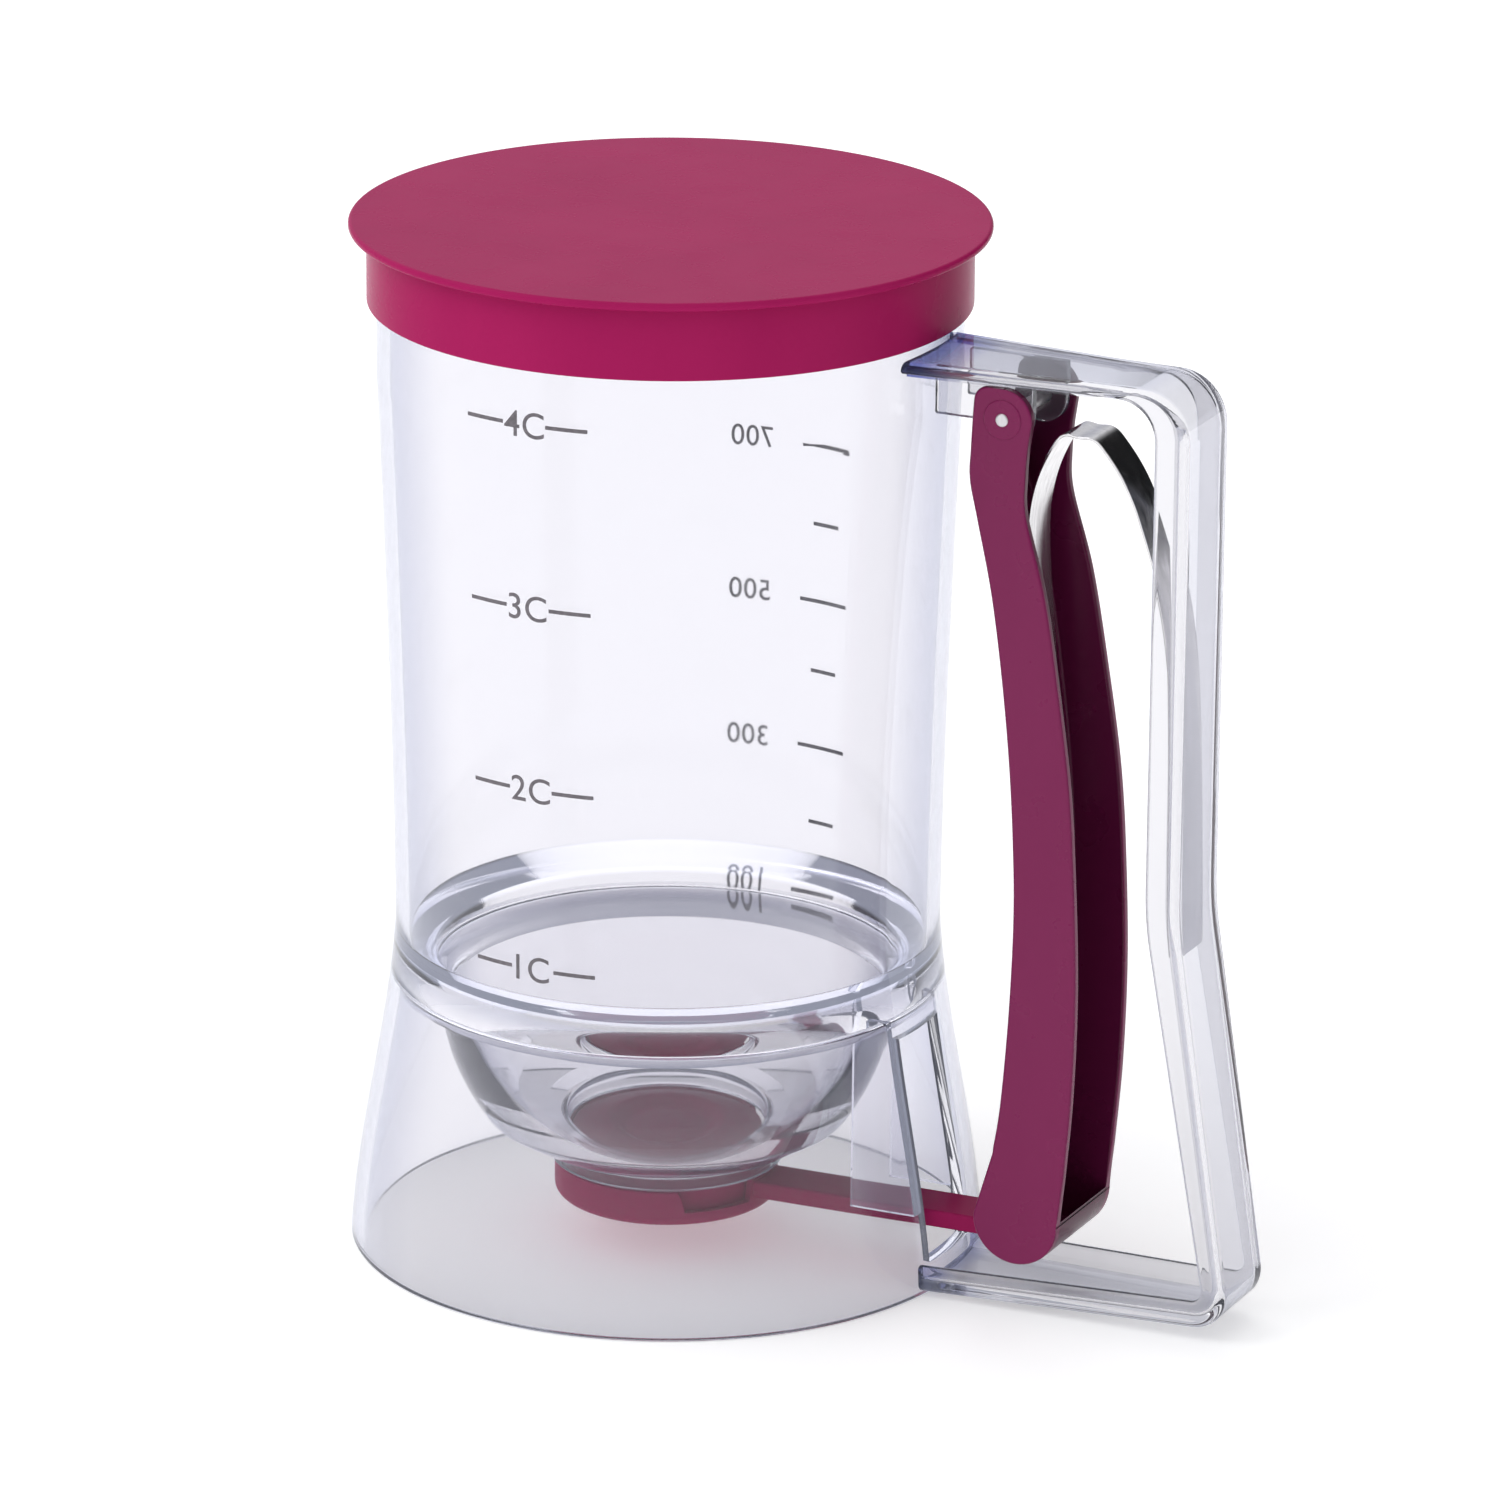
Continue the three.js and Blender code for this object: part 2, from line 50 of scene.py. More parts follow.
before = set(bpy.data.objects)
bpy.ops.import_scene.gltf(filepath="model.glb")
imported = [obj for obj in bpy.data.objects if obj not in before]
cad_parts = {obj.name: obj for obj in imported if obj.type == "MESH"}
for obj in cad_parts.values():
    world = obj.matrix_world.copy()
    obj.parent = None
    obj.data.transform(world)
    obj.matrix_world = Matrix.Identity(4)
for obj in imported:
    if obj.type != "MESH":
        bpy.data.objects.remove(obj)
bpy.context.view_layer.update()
HOPPER_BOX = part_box("hopper_wall")
AXIS_X = (HOPPER_BOX[0].x + HOPPER_BOX[1].x) / 2
LID_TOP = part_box("lid")[1].z
MM = 0.001

# Columns of points round a turned surface
TURNS = 192


# Properties

def number(name, description, default, **kind):
    return FloatProperty(name=name, description=description, default=default, **kind)


def length(name, description, millimetres):
    return number(name, description, millimetres * MM, min=0, precision=5, subtype="DISTANCE",
                  unit="LENGTH")


def share(name, description, default):
    return number(name, description, default, min=0, max=1, subtype="FACTOR")


def angle(name, description, degrees):
    return number(name, description, math.radians(degrees), precision=4, subtype="ANGLE",
                  unit="ROTATION")


def colour(name, description, default):
    return FloatVectorProperty(name=name, description=description, default=default, min=0, max=1,
                               size=3, subtype="COLOR")


class LidSizes(PropertyGroup):
    radius: length("Radius", "Outer radius of the lid's disc", 57)
    plate: length("Plate", "Thickness of the disc", 1.5)
    band_radius: length("Band radius", "Outer radius of the band over the rim", 53.8)
    band_depth: length("Band depth", "From the lid's top to the band's lower edge", 14.7)
    bore: length("Bore", "Inner radius of the band", 52.4)
    edge: length("Edge", "Rounding of the disc's edge", 0.7)


class HopperSizes(PropertyGroup):
    height: length("Height", "Height of the rim above the foot", 188.6)
    rim_radius: length("Rim radius", "Outer radius at the rim", 52.2)
    waist_radius: length("Waist radius", "Outer radius at the waist", 49.3)
    taper_top: length("Taper top", "Height where the taper ends", 162)
    wall: length("Wall", "Wall thickness", 2.4)
    waist_height: length("Waist height", "Height of the crease at the waist", 60.6)
    lip_drop: length("Lip drop", "Length of the lip inside the skirt", 5.4)


class SkirtSizes(PropertyGroup):
    foot_radius: length("Foot radius", "Outer radius of the foot ring", 57.7)
    flare: share("Flare", "Share of the soft S in the skirt's flare", 0.55)
    door_half_width: length("Door half width", "Half width of the doorway", 8)
    door_sill: length("Door sill", "Height of the doorway's sill", 5.6)
    door_top: length("Door top", "Height of the doorway's top", 47)
    guide_inner: length("Guide start", "Distance of the guide walls' free edge from the axis", 41)
    guide_bottom: length("Guide bottom", "Height of the guide walls' lower edge", 14)
    guide_wall: length("Guide wall", "Thickness of the guide walls", 1.3)


class BowlSizes(PropertyGroup):
    radius: length("Radius", "Outer radius of the bowl", 41.3)
    centre: length("Centre", "Height of the bowl's centre", 48.4)
    flange: length("Flange", "Thickness of the flange", 3.7)
    inner_radius: length("Inner radius", "Radius of the inner face's curve", 41.2)
    inner_centre: length("Inner centre", "Height of the inner curve's centre", 53)
    inner_shift: length("Inner shift", "Distance of the inner curve's centre past the axis", 1.1)
    flare: length("Flare", "Radius of the inner face's flare under the brim", 19.7)
    brim: length("Brim", "Height of the brim's inner edge", 55)
    brim_slope: share("Brim slope", "Rise of the brim over its width", 0.95)
    slope_foot: length("Slope foot", "Height where the flange's underside leaves the bowl", 46.5)
    cone_top: length("Cone top", "Height where the bowl turns into a cone", 23.5)
    cone_radius: length("Cone foot", "Radius where the cone meets the collar", 24.6)
    collar_radius: length("Collar radius", "Outer radius of the outlet collar", 21.2)
    collar_bore: length("Collar bore", "Inner radius of the outlet collar", 19.3)
    collar_bottom: length("Collar bottom", "Height of the collar's lower edge", 14.6)
    collar_top: length("Collar top", "Height where the bore opens into the bowl", 19.4)


class HandleSizes(PropertyGroup):
    top: length("Top", "Height of the handle's top", 173.4)
    root_half_width: length("Root half width", "Half width at the hopper", 12)
    half_width: length("Half width", "Half width of the post", 9.2)
    wall: length("Wall", "Thickness of the side flanges", 1.7)
    web: length("Web", "Thickness of the outer web", 1.9)
    round: length("Round", "Rounding of the channel's outer corners", 1.5)
    outer: length("Outer", "Distance of the post's outer face from the axis", 104)
    inner: length("Inner", "Distance of the post's inner edge from the axis", 97.6)
    knee: length("Knee", "Height of the post's knee", 77)
    foot_outer: length("Foot outer", "Distance of the foot's outer corner from the axis", 115.4)
    foot_inner: length("Foot inner", "Distance of the foot's inner corner from the axis", 110.2)
    arm_depth: length("Arm depth", "Depth of the top arm at the hopper", 2.1)
    low_bottom: length("Low bottom", "Height of the bottom arm's underside at the post", 2.6)
    low_top: length("Low top", "Height of the bottom arm's upper edge at the post", 7.6)
    low_root: length("Low root", "Height of the bottom arm's underside at the skirt", 0.9)


class TriggerSizes(PropertyGroup):
    pivot_x: length("Pivot", "Distance of the pin from the axis", 69.5)
    pivot_z: length("Pivot height", "Height of the pin", 165.2)
    reach: length("Length", "From the pin to the toe", 155.6)
    bow: length("Bow", "Furthest reach from the pin towards the post", 16.3)
    top_half_width: length("Top half width", "Half width at the ears", 10.4)
    low_half_width: length("Low half width", "Half width of the lower half", 11.8)
    wall: length("Wall", "Thickness of the side walls", 1.9)
    web: length("Web", "Thickness of the back", 2)
    ear: length("Ear", "Radius of the ears round the pin", 5.5)
    toe: length("Toe", "Radius of the toe", 8.2)
    toe_offset: length("Toe offset", "Distance of the toe's centre from the pin, outwards", 5.3)
    web_top: length("Back top", "Height where the back starts", 158.5)
    pin: length("Pin", "Radius of the pin", 1.2)


class ValveSizes(PropertyGroup):
    radius: length("Radius", "Outer radius of the cup", 20.5)
    bottom: length("Bottom", "Height of the cup's underside", 7.4)
    floor: length("Floor", "Thickness of the cup's floor", 2)
    wall: length("Wall", "Thickness of the cup's wall", 1.3)
    rim: length("Rim", "Height of the cup's rim", 14.3)
    plug_radius: length("Plug radius", "Radius of the dome that closes the bore", 18.8)
    plug_rise: length("Plug rise", "Rise of the dome", 4)
    dimple: length("Dimple", "Radius of the dimple in the dome", 11.7)
    dimple_depth: length("Dimple depth", "Depth of the dimple", 2.4)
    notch: length("Notch", "Height of the rim in the notches beside the arm", 10.2)
    arm_half_width: length("Arm half width", "Half width of the valve arm", 5)
    arm_thickness: length("Arm thickness", "Thickness of the valve arm", 3.2)
    arm_inner: length("Arm inner", "Height of the arm's underside at the cup", 10.4)
    arm_outer: length("Arm outer", "Height of the arm's underside at the trigger", 11.4)


class SpringSizes(PropertyGroup):
    thickness: length("Thickness", "Thickness of the leaf", 0.5)
    width: length("Width", "Width of the leaf", 9)
    crest: length("Crest", "Height of the leaf's crest", 162)
    end: length("End", "Height of the end inside the post", 70)
    foot: length("Foot", "Height of the end inside the trigger", 88)


class MarkSizes(PropertyGroup):
    letter: length("Letter", "Height of the cup marks' characters", 4.7)
    figure: length("Figure", "Height of the millilitre figures", 3.9)
    line: length("Line", "Height of the printed lines", 0.7)
    ink: length("Ink", "Thickness of the ink", 0.04)


class Finishes(PropertyGroup):
    clear: colour("Clear plastic", "Tint of the clear plastic", (0.872, 0.867, 0.892))
    edge: colour("Clear edges", "Tint of the clear plastic where it is seen at a slant", (0.3, 0.33, 0.5))
    root: colour("Handle roots", "Tint where the handle meets the body", (0.20, 0.23, 0.55))
    lid: colour("Lid", "Colour of the lid", (0.35, 0.011, 0.092))
    # Painted shade: the trigger is the lid's magenta made about half as light and a little bluer
    trigger: colour("Trigger", "Colour of the trigger", (0.187, 0.0105, 0.074))
    valve: colour("Valve", "Colour of the valve cup and its arm", (0.317, 0.0122, 0.0873))
    steel: colour("Steel", "Colour of the leaf and the pin", (0.78, 0.77, 0.78))
    ink: colour("Ink", "Colour of the printed scales", (0.10, 0.09, 0.10))
    floor: colour("Floor", "Colour of the floor", (0.93, 0.93, 0.935))


class StageSettings(PropertyGroup):
    azimuth: angle("Azimuth", "Bearing of the camera from the hopper's axis", 26.471)
    distance: number("Distance", "Level distance of the camera from the axis", 1.59134,
                     unit="LENGTH", subtype="DISTANCE")
    height: number("Height", "Height of the camera", 0.61692, unit="LENGTH", subtype="DISTANCE")
    yaw: angle("Yaw", "Turn of the camera off the axis", -0.526)
    pitch: angle("Pitch", "Downward tilt of the camera", 18.271)
    roll: angle("Roll", "Roll of the camera", 0.398)
    lens: number("Lens", "Focal length on a 36 mm sensor", 223.655, subtype="DISTANCE_CAMERA")
    sky: number("Sky", "Strength of the studio's even light", 1.16)
    key: number("Key", "Power of the key light", 5, subtype="POWER")


class Dispenser(PropertyGroup):
    lid: PointerProperty(type=LidSizes)
    hopper: PointerProperty(type=HopperSizes)
    skirt: PointerProperty(type=SkirtSizes)
    bowl: PointerProperty(type=BowlSizes)
    handle: PointerProperty(type=HandleSizes)
    trigger: PointerProperty(type=TriggerSizes)
    valve: PointerProperty(type=ValveSizes)
    spring: PointerProperty(type=SpringSizes)
    marks: PointerProperty(type=MarkSizes)
    finishes: PointerProperty(type=Finishes)
    stage: PointerProperty(type=StageSettings)


# Surfaces

def unit(vectors):
    """Each vector divided by its length."""
    return vectors / np.maximum(np.linalg.norm(vectors, axis=-1, keepdims=True), 1e-12)


def spread(*values):
    """Coordinates as points, each spread over the whole grid."""
    return np.stack(np.broadcast_arrays(*values), -1)


def arc(centre, radius, angles):
    """Points of a circle: centre + radius (cos a, sin a)."""
    return np.array(centre) + radius * np.stack([np.cos(angles), np.sin(angles)], -1)


def circle(centre, radius, count):
    return arc(centre, radius, np.linspace(0, 2 * np.pi, count, endpoint=False))


def smoothstep(values):
    """3 t^2 - 2 t^3, with t held between 0 and 1."""
    t = np.clip(values, 0, 1)
    return t * t * (3 - 2 * t)


def rounded(corners, steps=7, closed=True):
    """Outline through (x, y, radius) corners: each corner becomes the arc of its radius that touches
    both sides, from one touching point to the other about the arc's centre."""
    out = []
    for i, (x, y, radius) in enumerate(corners):
        here = np.array([x, y], float)
        if radius <= 0 or (not closed and i in (0, len(corners) - 1)):
            out.append(here[None])
            continue
        a = unit(np.array(corners[i - 1][:2], float) - here)
        b = unit(np.array(corners[(i + 1) % len(corners)][:2], float) - here)
        half = math.acos(np.clip(a @ b, -1, 1)) / 2
        centre = here + unit(a + b) * radius / math.sin(half)
        reach = radius / math.tan(half)
        start, end = here + a * reach - centre, here + b * reach - centre
        turn = math.pi - 2 * half
        t = np.linspace(0, 1, steps + 1)[:, None]
        out.append(centre + (np.sin((1 - t) * turn) * start + np.sin(t * turn) * end) / math.sin(turn))
    return np.concatenate(out)


def spline(knots, count):
    """Curve through the knots: on each span the cubic whose end slopes are half the chord between the
    knots on both sides."""
    knots = np.array(knots, float)
    at = np.linspace(0, len(knots) - 1, count)
    i = np.minimum(at.astype(int), len(knots) - 2)
    t = (at - i)[:, None]
    p0, p1 = knots[np.maximum(i - 1, 0)], knots[i]
    p2, p3 = knots[i + 1], knots[np.minimum(i + 2, len(knots) - 1)]
    v0, v1 = (p2 - p0) / 2, (p3 - p1) / 2
    return ((2 * p1 - 2 * p2 + v0 + v1) * t ** 3 + (3 * p2 - 3 * p1 - 2 * v0 - v1) * t ** 2
            + v0 * t + p1)


def along(line, shares):
    """Points of a line at shares of its length."""
    steps = np.concatenate([[0], np.cumsum(np.linalg.norm(np.diff(line, axis=0), axis=1))])
    at = np.asarray(shares) * steps[-1]
    return np.stack([np.interp(at, steps, line[:, k]) for k in range(line.shape[1])], -1)


def at_heights(line, heights):
    """Points of a falling line at the heights asked for."""
    order = np.argsort(line[:, 1])
    return np.stack([np.interp(heights, line[order, 1], line[order, 0]), heights], -1)


def side_normals(outline, closed=True):
    """Unit normal of an outline in its plane, to the left of its direction, from the chord between
    the neighbours of each point."""
    if closed:
        chord = np.roll(outline, -1, 0) - np.roll(outline, 1, 0)
    else:
        chord = np.gradient(outline, axis=0)
    return unit(np.stack([-chord[:, 1], chord[:, 0]], -1))


def cells(rows, columns, wrap_rows=False, wrap_columns=False):
    """Corner numbers of the quads of a grid of points, rows by columns."""
    i, j = np.meshgrid(np.arange(rows if wrap_rows else rows - 1),
                       np.arange(columns if wrap_columns else columns - 1), indexing="ij")
    below, right = (i + 1) % rows, (j + 1) % columns
    return np.stack([i * columns + j, i * columns + right, below * columns + right,
                     below * columns + j], -1)


def strip(first, second):
    """Quads between two equally long rows of point numbers."""
    return np.stack([first[:-1], first[1:], second[1:], second[:-1]], -1)


def turned(profile, angles=None):
    """A closed profile of (radius, height) turned about the axis: x = r cos a, y = r sin a, z = h."""
    a = np.linspace(0, 2 * np.pi, TURNS, endpoint=False) if angles is None else angles
    r, h = profile[:, :1], profile[:, 1:]
    points = spread(r * np.cos(a), r * np.sin(a), h)
    return points, cells(*points.shape[:2], True, True).reshape(-1, 4)


def tube(sections):
    """A surface through closed sections, with flat ends: faces of the grid and one face for each end."""
    rows, columns = sections.shape[:2]
    numbers = np.arange(rows * columns).reshape(rows, columns)
    return sections, cells(rows, columns, False, True).reshape(-1, 4).tolist() + [
        numbers[0].tolist(), numbers[-1].tolist()]


def slab(outline, half_width, edge, steps=4):
    """An (x, z) outline made thick along y: on each side the outline draws in by e (1 - cos a) while
    it moves out by e sin a, a quarter turn of radius e, so that both edges are round."""
    a = np.linspace(0, np.pi / 2, steps + 1)
    inset, short = edge * (1 - np.cos(a)), edge * (1 - np.sin(a))
    inset = np.concatenate([inset[::-1], inset])
    y = np.concatenate([-half_width + short[::-1], half_width - short])
    after = np.roll(outline, -1, 0)
    twice_area = np.sum(outline[:, 0] * after[:, 1] - after[:, 0] * outline[:, 1])
    flat = outline + side_normals(outline) * inset[:, None, None] * np.sign(twice_area)
    return tube(spread(flat[..., 0], y[:, None], flat[..., 1]))


def channel_section(depth, half_width, wall, web, edge, tip, steps=4):
    """Half of a channel's section for each row, as distances from the outer line towards the inner
    edge and as y: round the outer corner, along the side wall, round its tip and back into the
    corner of the web."""
    a = np.linspace(0, np.pi / 2, steps + 1)
    s, c = np.sin(a), np.cos(a)
    one = np.ones_like(depth)
    low = -half_width.reshape(-1, 1)
    dist = [edge * (1 - c) * one, depth - tip + tip * s, depth - tip + tip * c,
            web + edge * (1 - s) * one]
    y = [low + edge * (1 - s), low + tip * (1 - c), low + wall - tip * (1 - s),
         low + wall + edge * (1 - c)]
    return np.concatenate(dist, 1), np.concatenate(y, 1)


def swept(outer, inner, depth, dist, y):
    """Half sections and their mirror, laid between two lines: each point is p + u d, with p on the
    outer line, u the unit vector to the inner one and d the distance."""
    toward = (inner - outer) / np.maximum(depth, 1e-9)
    dist = np.concatenate([dist, dist[:, ::-1]], 1)
    y = np.concatenate([y, -y[:, ::-1]], 1)
    flat = outer[:, None] + toward[:, None] * dist[..., None]
    return spread(flat[..., 0], y, flat[..., 1])


def weld(points, faces):
    """Points that share a place become one, and faces lose the corners that fall together."""
    grain = 1e-7
    _, first, index = np.unique(np.round(points / grain).astype(np.int64), axis=0,
                                return_index=True, return_inverse=True)
    index = index.reshape(-1).tolist()
    loops = [list(dict.fromkeys(index[k] for k in face)) for face in faces]
    return points[first], [loop for loop in loops if len(loop) > 2]


def put(name, data):
    """A new object in the scene with this data."""
    made = bpy.data.objects.new(name, data)
    bpy.context.scene.collection.objects.link(made)
    return made


def piece(name, points, faces, finish, body=None, slot=None, replaces=(), sharp=40, level=True):
    """Makes a closed mesh of points in the hopper's frame, with its faces turned outwards, smooth up
    to the sharp angle, and hangs it on its body."""
    points = np.asarray(points, float).reshape(-1, 3)
    points, loops = weld(points, faces if isinstance(faces, list) else faces.tolist())
    mesh = bpy.data.meshes.new(name)
    mesh.from_pydata(points + [AXIS_X, 0, 0], [], loops)
    work = bmesh.new()
    work.from_mesh(mesh)
    bmesh.ops.recalc_face_normals(work, faces=work.faces)
    work.to_mesh(mesh)
    work.free()
    mesh.shade_smooth()
    mesh.set_sharp_from_angle(angle=math.radians(sharp))
    mesh.materials.append(finish)
    made = put(name, mesh)
    if level:
        modifier = made.modifiers.new("Flat faces", "WEIGHTED_NORMAL")
        modifier.keep_sharp = True
        modifier.weight = 80
    if body:
        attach(made, body)
    if replaces:
        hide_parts(*replaces)
    return made


def joined(*parts):
    """Several (points, faces) sets as one."""
    points, faces, start = [], [], 0
    for p, f in parts:
        p = np.asarray(p, float).reshape(-1, 3)
        f = f if isinstance(f, list) else f.tolist()
        points.append(p)
        faces += [[k + start for k in face] for face in f]
        start += len(p)
    return np.concatenate(points), faces


def hopper_radius(s, z):
    """Outer radius of the hopper: waist + (rim - waist) t^1.5, t being the share of the taper."""
    t = np.clip((z - s.waist_height) / (s.taper_top - s.waist_height), 0, 1)
    return s.waist_radius + (s.rim_radius - s.waist_radius) * t ** 1.5


def skirt_radius(d, z):
    """Outer radius of the skirt: waist + (foot - waist) f, f being a mix of t and 3 t^2 - 2 t^3,
    with t the share of the way down from the waist."""
    t = np.clip(1 - z / d.hopper.waist_height, 0, 1)
    f = t + (smoothstep(t) - t) * d.skirt.flare
    return d.hopper.waist_radius + (d.skirt.foot_radius - d.hopper.waist_radius) * f


# Shaders

# Colour of the painted glow, an emission that stands in for light caught inside the clear plastic, and how
# much of it each part gives off
PAINTED_GLOW_COLOUR = (0.74, 0.79, 1.0)
WALL_GLOW, BOWL_GLOW, BRIM_GLOW, GUIDE_GLOW, HANDLE_GLOW = 0.02, 0.025, 0.955, 0.16, 0.03

# How much darker the handle's tint is than the body's: painted shade on the same clear plastic
HANDLE_PAINTED_SHADE = 0.87


class Socket:
    """An output of a shader node that can stand in sums and products."""

    def __init__(self, net, out):
        self.net, self.out = net, out

    def math(self, operation, *values):
        return self.net.node("ShaderNodeMath", {"operation": operation}, dict(enumerate(values)))

    def __add__(self, other):
        return self.math("ADD", self, other)

    def __sub__(self, other):
        return self.math("SUBTRACT", self, other)

    def __rsub__(self, other):
        return self.math("SUBTRACT", other, self)

    def __mul__(self, other):
        return self.math("MULTIPLY", self, other)

    def __abs__(self):
        return self.math("ABSOLUTE", self)

    __radd__ = __add__
    __rmul__ = __mul__


class Net:
    """The nodes of one material or world."""

    def __init__(self, owner):
        self.owner = owner
        owner.use_nodes = True
        self.tree = owner.node_tree
        self.tree.nodes.clear()

    def node(self, kind, settings=None, inputs=None, output=0):
        """Adds a node: its settings first, then the values or links of its sockets."""
        made = self.tree.nodes.new(kind)
        for key, value in (settings or {}).items():
            setattr(made, key, value)
        for key, value in (inputs or {}).items():
            if isinstance(value, Socket):
                self.tree.links.new(value.out, made.inputs[key])
            else:
                made.inputs[key].default_value = value
        return Socket(self, made.outputs[output]) if made.outputs else None

    def here(self):
        return self.node("ShaderNodeTexCoord", output="Object")

    def axis(self, name):
        return self.node("ShaderNodeSeparateXYZ", None, {0: self.here()}, name)

    def vector(self, operation, *values, output=0):
        return self.node("ShaderNodeVectorMath", {"operation": operation}, dict(enumerate(values)), output)

    def noise(self, scale, detail=2, stretch=(1, 1, 1)):
        """Noise on Object coordinates, drawn out along an axis where its stretch is below 1."""
        place = self.vector("MULTIPLY", self.here(), stretch)
        return self.node("ShaderNodeTexNoise", None, {"Vector": place, "Scale": scale, "Detail": detail})

    def ramp(self, value, low, high, start=0, end=1):
        """A number carried from one range to another and held there."""
        return self.node("ShaderNodeMapRange", None, {"Value": value, "From Min": low, "From Max": high,
                                                      "To Min": start, "To Max": end})

    def blend(self, amount, first, second):
        """First colour where the amount is 0 and second where it is 1."""
        return self.node("ShaderNodeMix", {"data_type": "RGBA"}, {0: amount, 6: first, 7: second}, 2)

    def bump(self, height, strength, distance):
        return self.node("ShaderNodeBump", None, {"Height": height, "Strength": strength,
                                                  "Distance": distance})

    def surface(self, **inputs):
        """Ends the material in a Principled BSDF with these inputs, and returns the material."""
        named = {key.replace("_", " "): value for key, value in inputs.items()}
        shader = self.node("ShaderNodeBsdfPrincipled", None, named)
        self.node("ShaderNodeOutputMaterial", None, {"Surface": shader})
        return self.owner


def rgba(value, scale=1):
    return (*(c * scale for c in value), 1)


def new_net(name):
    """The nodes of a new material."""
    return Net(bpy.data.materials.new(name))


def painted_glow_share(net, d):
    """Share of the painted glow, an emission that stands in for light caught inside the plastic: full on
    the brim over the bowl, less in the guide walls, little in the bowl and least in the outer wall."""
    flat = net.vector("MULTIPLY_ADD", net.here(), (1, 1, 0), (-AXIS_X, 0, 0))
    radius = net.vector("LENGTH", flat, output="Value")
    bore, reach = d.hopper.waist_radius - d.hopper.wall, d.skirt.guide_inner
    half_width = d.skirt.door_half_width + d.skirt.guide_wall
    inside = net.ramp(radius, bore - 0.5 * MM, bore, 1, 0)
    brim = inside * net.ramp(net.axis("Z"), d.bowl.brim - 1 * MM, d.bowl.brim - 0.4 * MM)
    guides = (net.ramp(net.axis("X"), AXIS_X + reach - 1 * MM, AXIS_X + reach)
              * net.ramp(abs(net.axis("Y")), half_width, half_width + 0.5 * MM, 1, 0)
              * net.ramp(net.axis("Z"), d.bowl.slope_foot, d.bowl.slope_foot + 4 * MM, 1, 0))
    return WALL_GLOW + inside * BOWL_GLOW + brim * BRIM_GLOW + guides * GUIDE_GLOW


def clear_plastic(name, d, root=None, painted_shade=1.0):
    """Clear moulded plastic: slow flow waves, faint haze and a bluer tint where it is seen at a slant.
    A handle has a blue cast between its two root distances and an even painted glow, and the other pieces
    get a painted glow, by zones, that stands in for light caught inside them."""
    net = new_net(name)
    # Painted shade: a darker tint for the handle and the pivot plates
    tint = rgba(d.finishes.clear, painted_shade)
    if root:
        near_root = net.ramp(net.axis("X"), AXIS_X + root[0], AXIS_X + root[1], 1, 0)
        tint = net.blend(near_root, tint, rgba(d.finishes.root))
        # Painted glow: an even emission on the handle
        glow = rgba(PAINTED_GLOW_COLOUR, HANDLE_GLOW)
    else:
        # Painted glow: an emission by zones on the other pieces
        glow = net.blend(painted_glow_share(net, d), (0, 0, 0, 1), rgba(PAINTED_GLOW_COLOUR))
    slant = net.ramp(net.node("ShaderNodeLayerWeight", None, {"Blend": 0.5}, "Facing"), 0.42, 0.95)
    tint = net.blend(slant, tint, rgba(d.finishes.edge))
    haze = net.noise(60, 3, (1, 1, 0.25))
    waves = net.noise(38, 1, (1, 1, 0.3))
    return net.surface(
        Base_Color=tint, Roughness=net.ramp(haze, 0.35, 0.75, 0.015, 0.05), Transmission_Weight=0.985,
        IOR=1.5, Specular_Tint=(0.4, 0.4, 0.4, 1), Normal=net.bump(waves, 0.12, 0.0006),
        Emission_Color=glow, Emission_Strength=0.3)


def coloured_plastic(name, base, gloss, inner=0, sheen=0.04):
    """Coloured moulded plastic: satin grain, faint flow marks and a softer sheen where hands rub. The
    tone is half as light within the inner half width, where the channel is: painted shade in the channel."""
    net = new_net(name)
    deep = rgba(base)
    pale = rgba([min(1, c * 1.08 + 0.002) for c in base])
    flow = net.noise(45, 3, (1, 1, 0.35))
    rubbed = net.noise(110, 4)
    grain = net.noise(2600, 2)
    tone = net.blend(net.ramp(flow, 0.3, 0.75), deep, pale)
    # Painted shade: the tone inside the channel is halved
    if inner:
        side = net.ramp(abs(net.axis("Y")), inner, inner + 0.3 * MM)
        tone = net.blend(side, rgba(base, 0.5), tone)
    return net.surface(
        Base_Color=tone, Roughness=net.ramp(rubbed, 0.3, 0.75, gloss, gloss + 0.06),
        Normal=net.bump(grain + flow * 0.5, 0.05, 0.0001), Specular_IOR_Level=sheen)


def bright_steel(name, d, gloss=0.14):
    """Rolled spring steel: bright, with fine streaks along its length."""
    net = new_net(name)
    streaks = net.noise(900, 3, (1, 1, 0.03))
    tone = net.blend(net.ramp(streaks, 0.3, 0.7), rgba(d.finishes.steel), rgba(d.finishes.steel, 0.82))
    return net.surface(
        Base_Color=tone, Metallic=1.0, Roughness=net.ramp(streaks, 0.3, 0.7, gloss, gloss + 0.1),
        Normal=net.bump(streaks, 0.05, 0.00004))


def printed_ink(name, d):
    """Printed ink: matt, slightly uneven in tone."""
    net = new_net(name)
    patches = net.noise(1500, 2)
    tone = net.blend(net.ramp(patches, 0.35, 0.7), rgba(d.finishes.ink), rgba(d.finishes.ink, 1.7))
    return net.surface(Base_Color=tone, Roughness=net.ramp(patches, 0.3, 0.7, 0.45, 0.6))


def floor_finish(name, d):
    """Plain pale paper with a hardly visible tooth, faintly lit from below like a studio table."""
    net = new_net(name)
    tooth = net.noise(400, 2)
    return net.surface(
        Base_Color=rgba(d.finishes.floor), Roughness=net.ramp(tooth, 0.3, 0.7, 0.75, 0.85),
        Emission_Color=rgba(d.finishes.floor), Emission_Strength=0.37)


# Operators

def settings():
    return bpy.context.scene.batter_dispenser


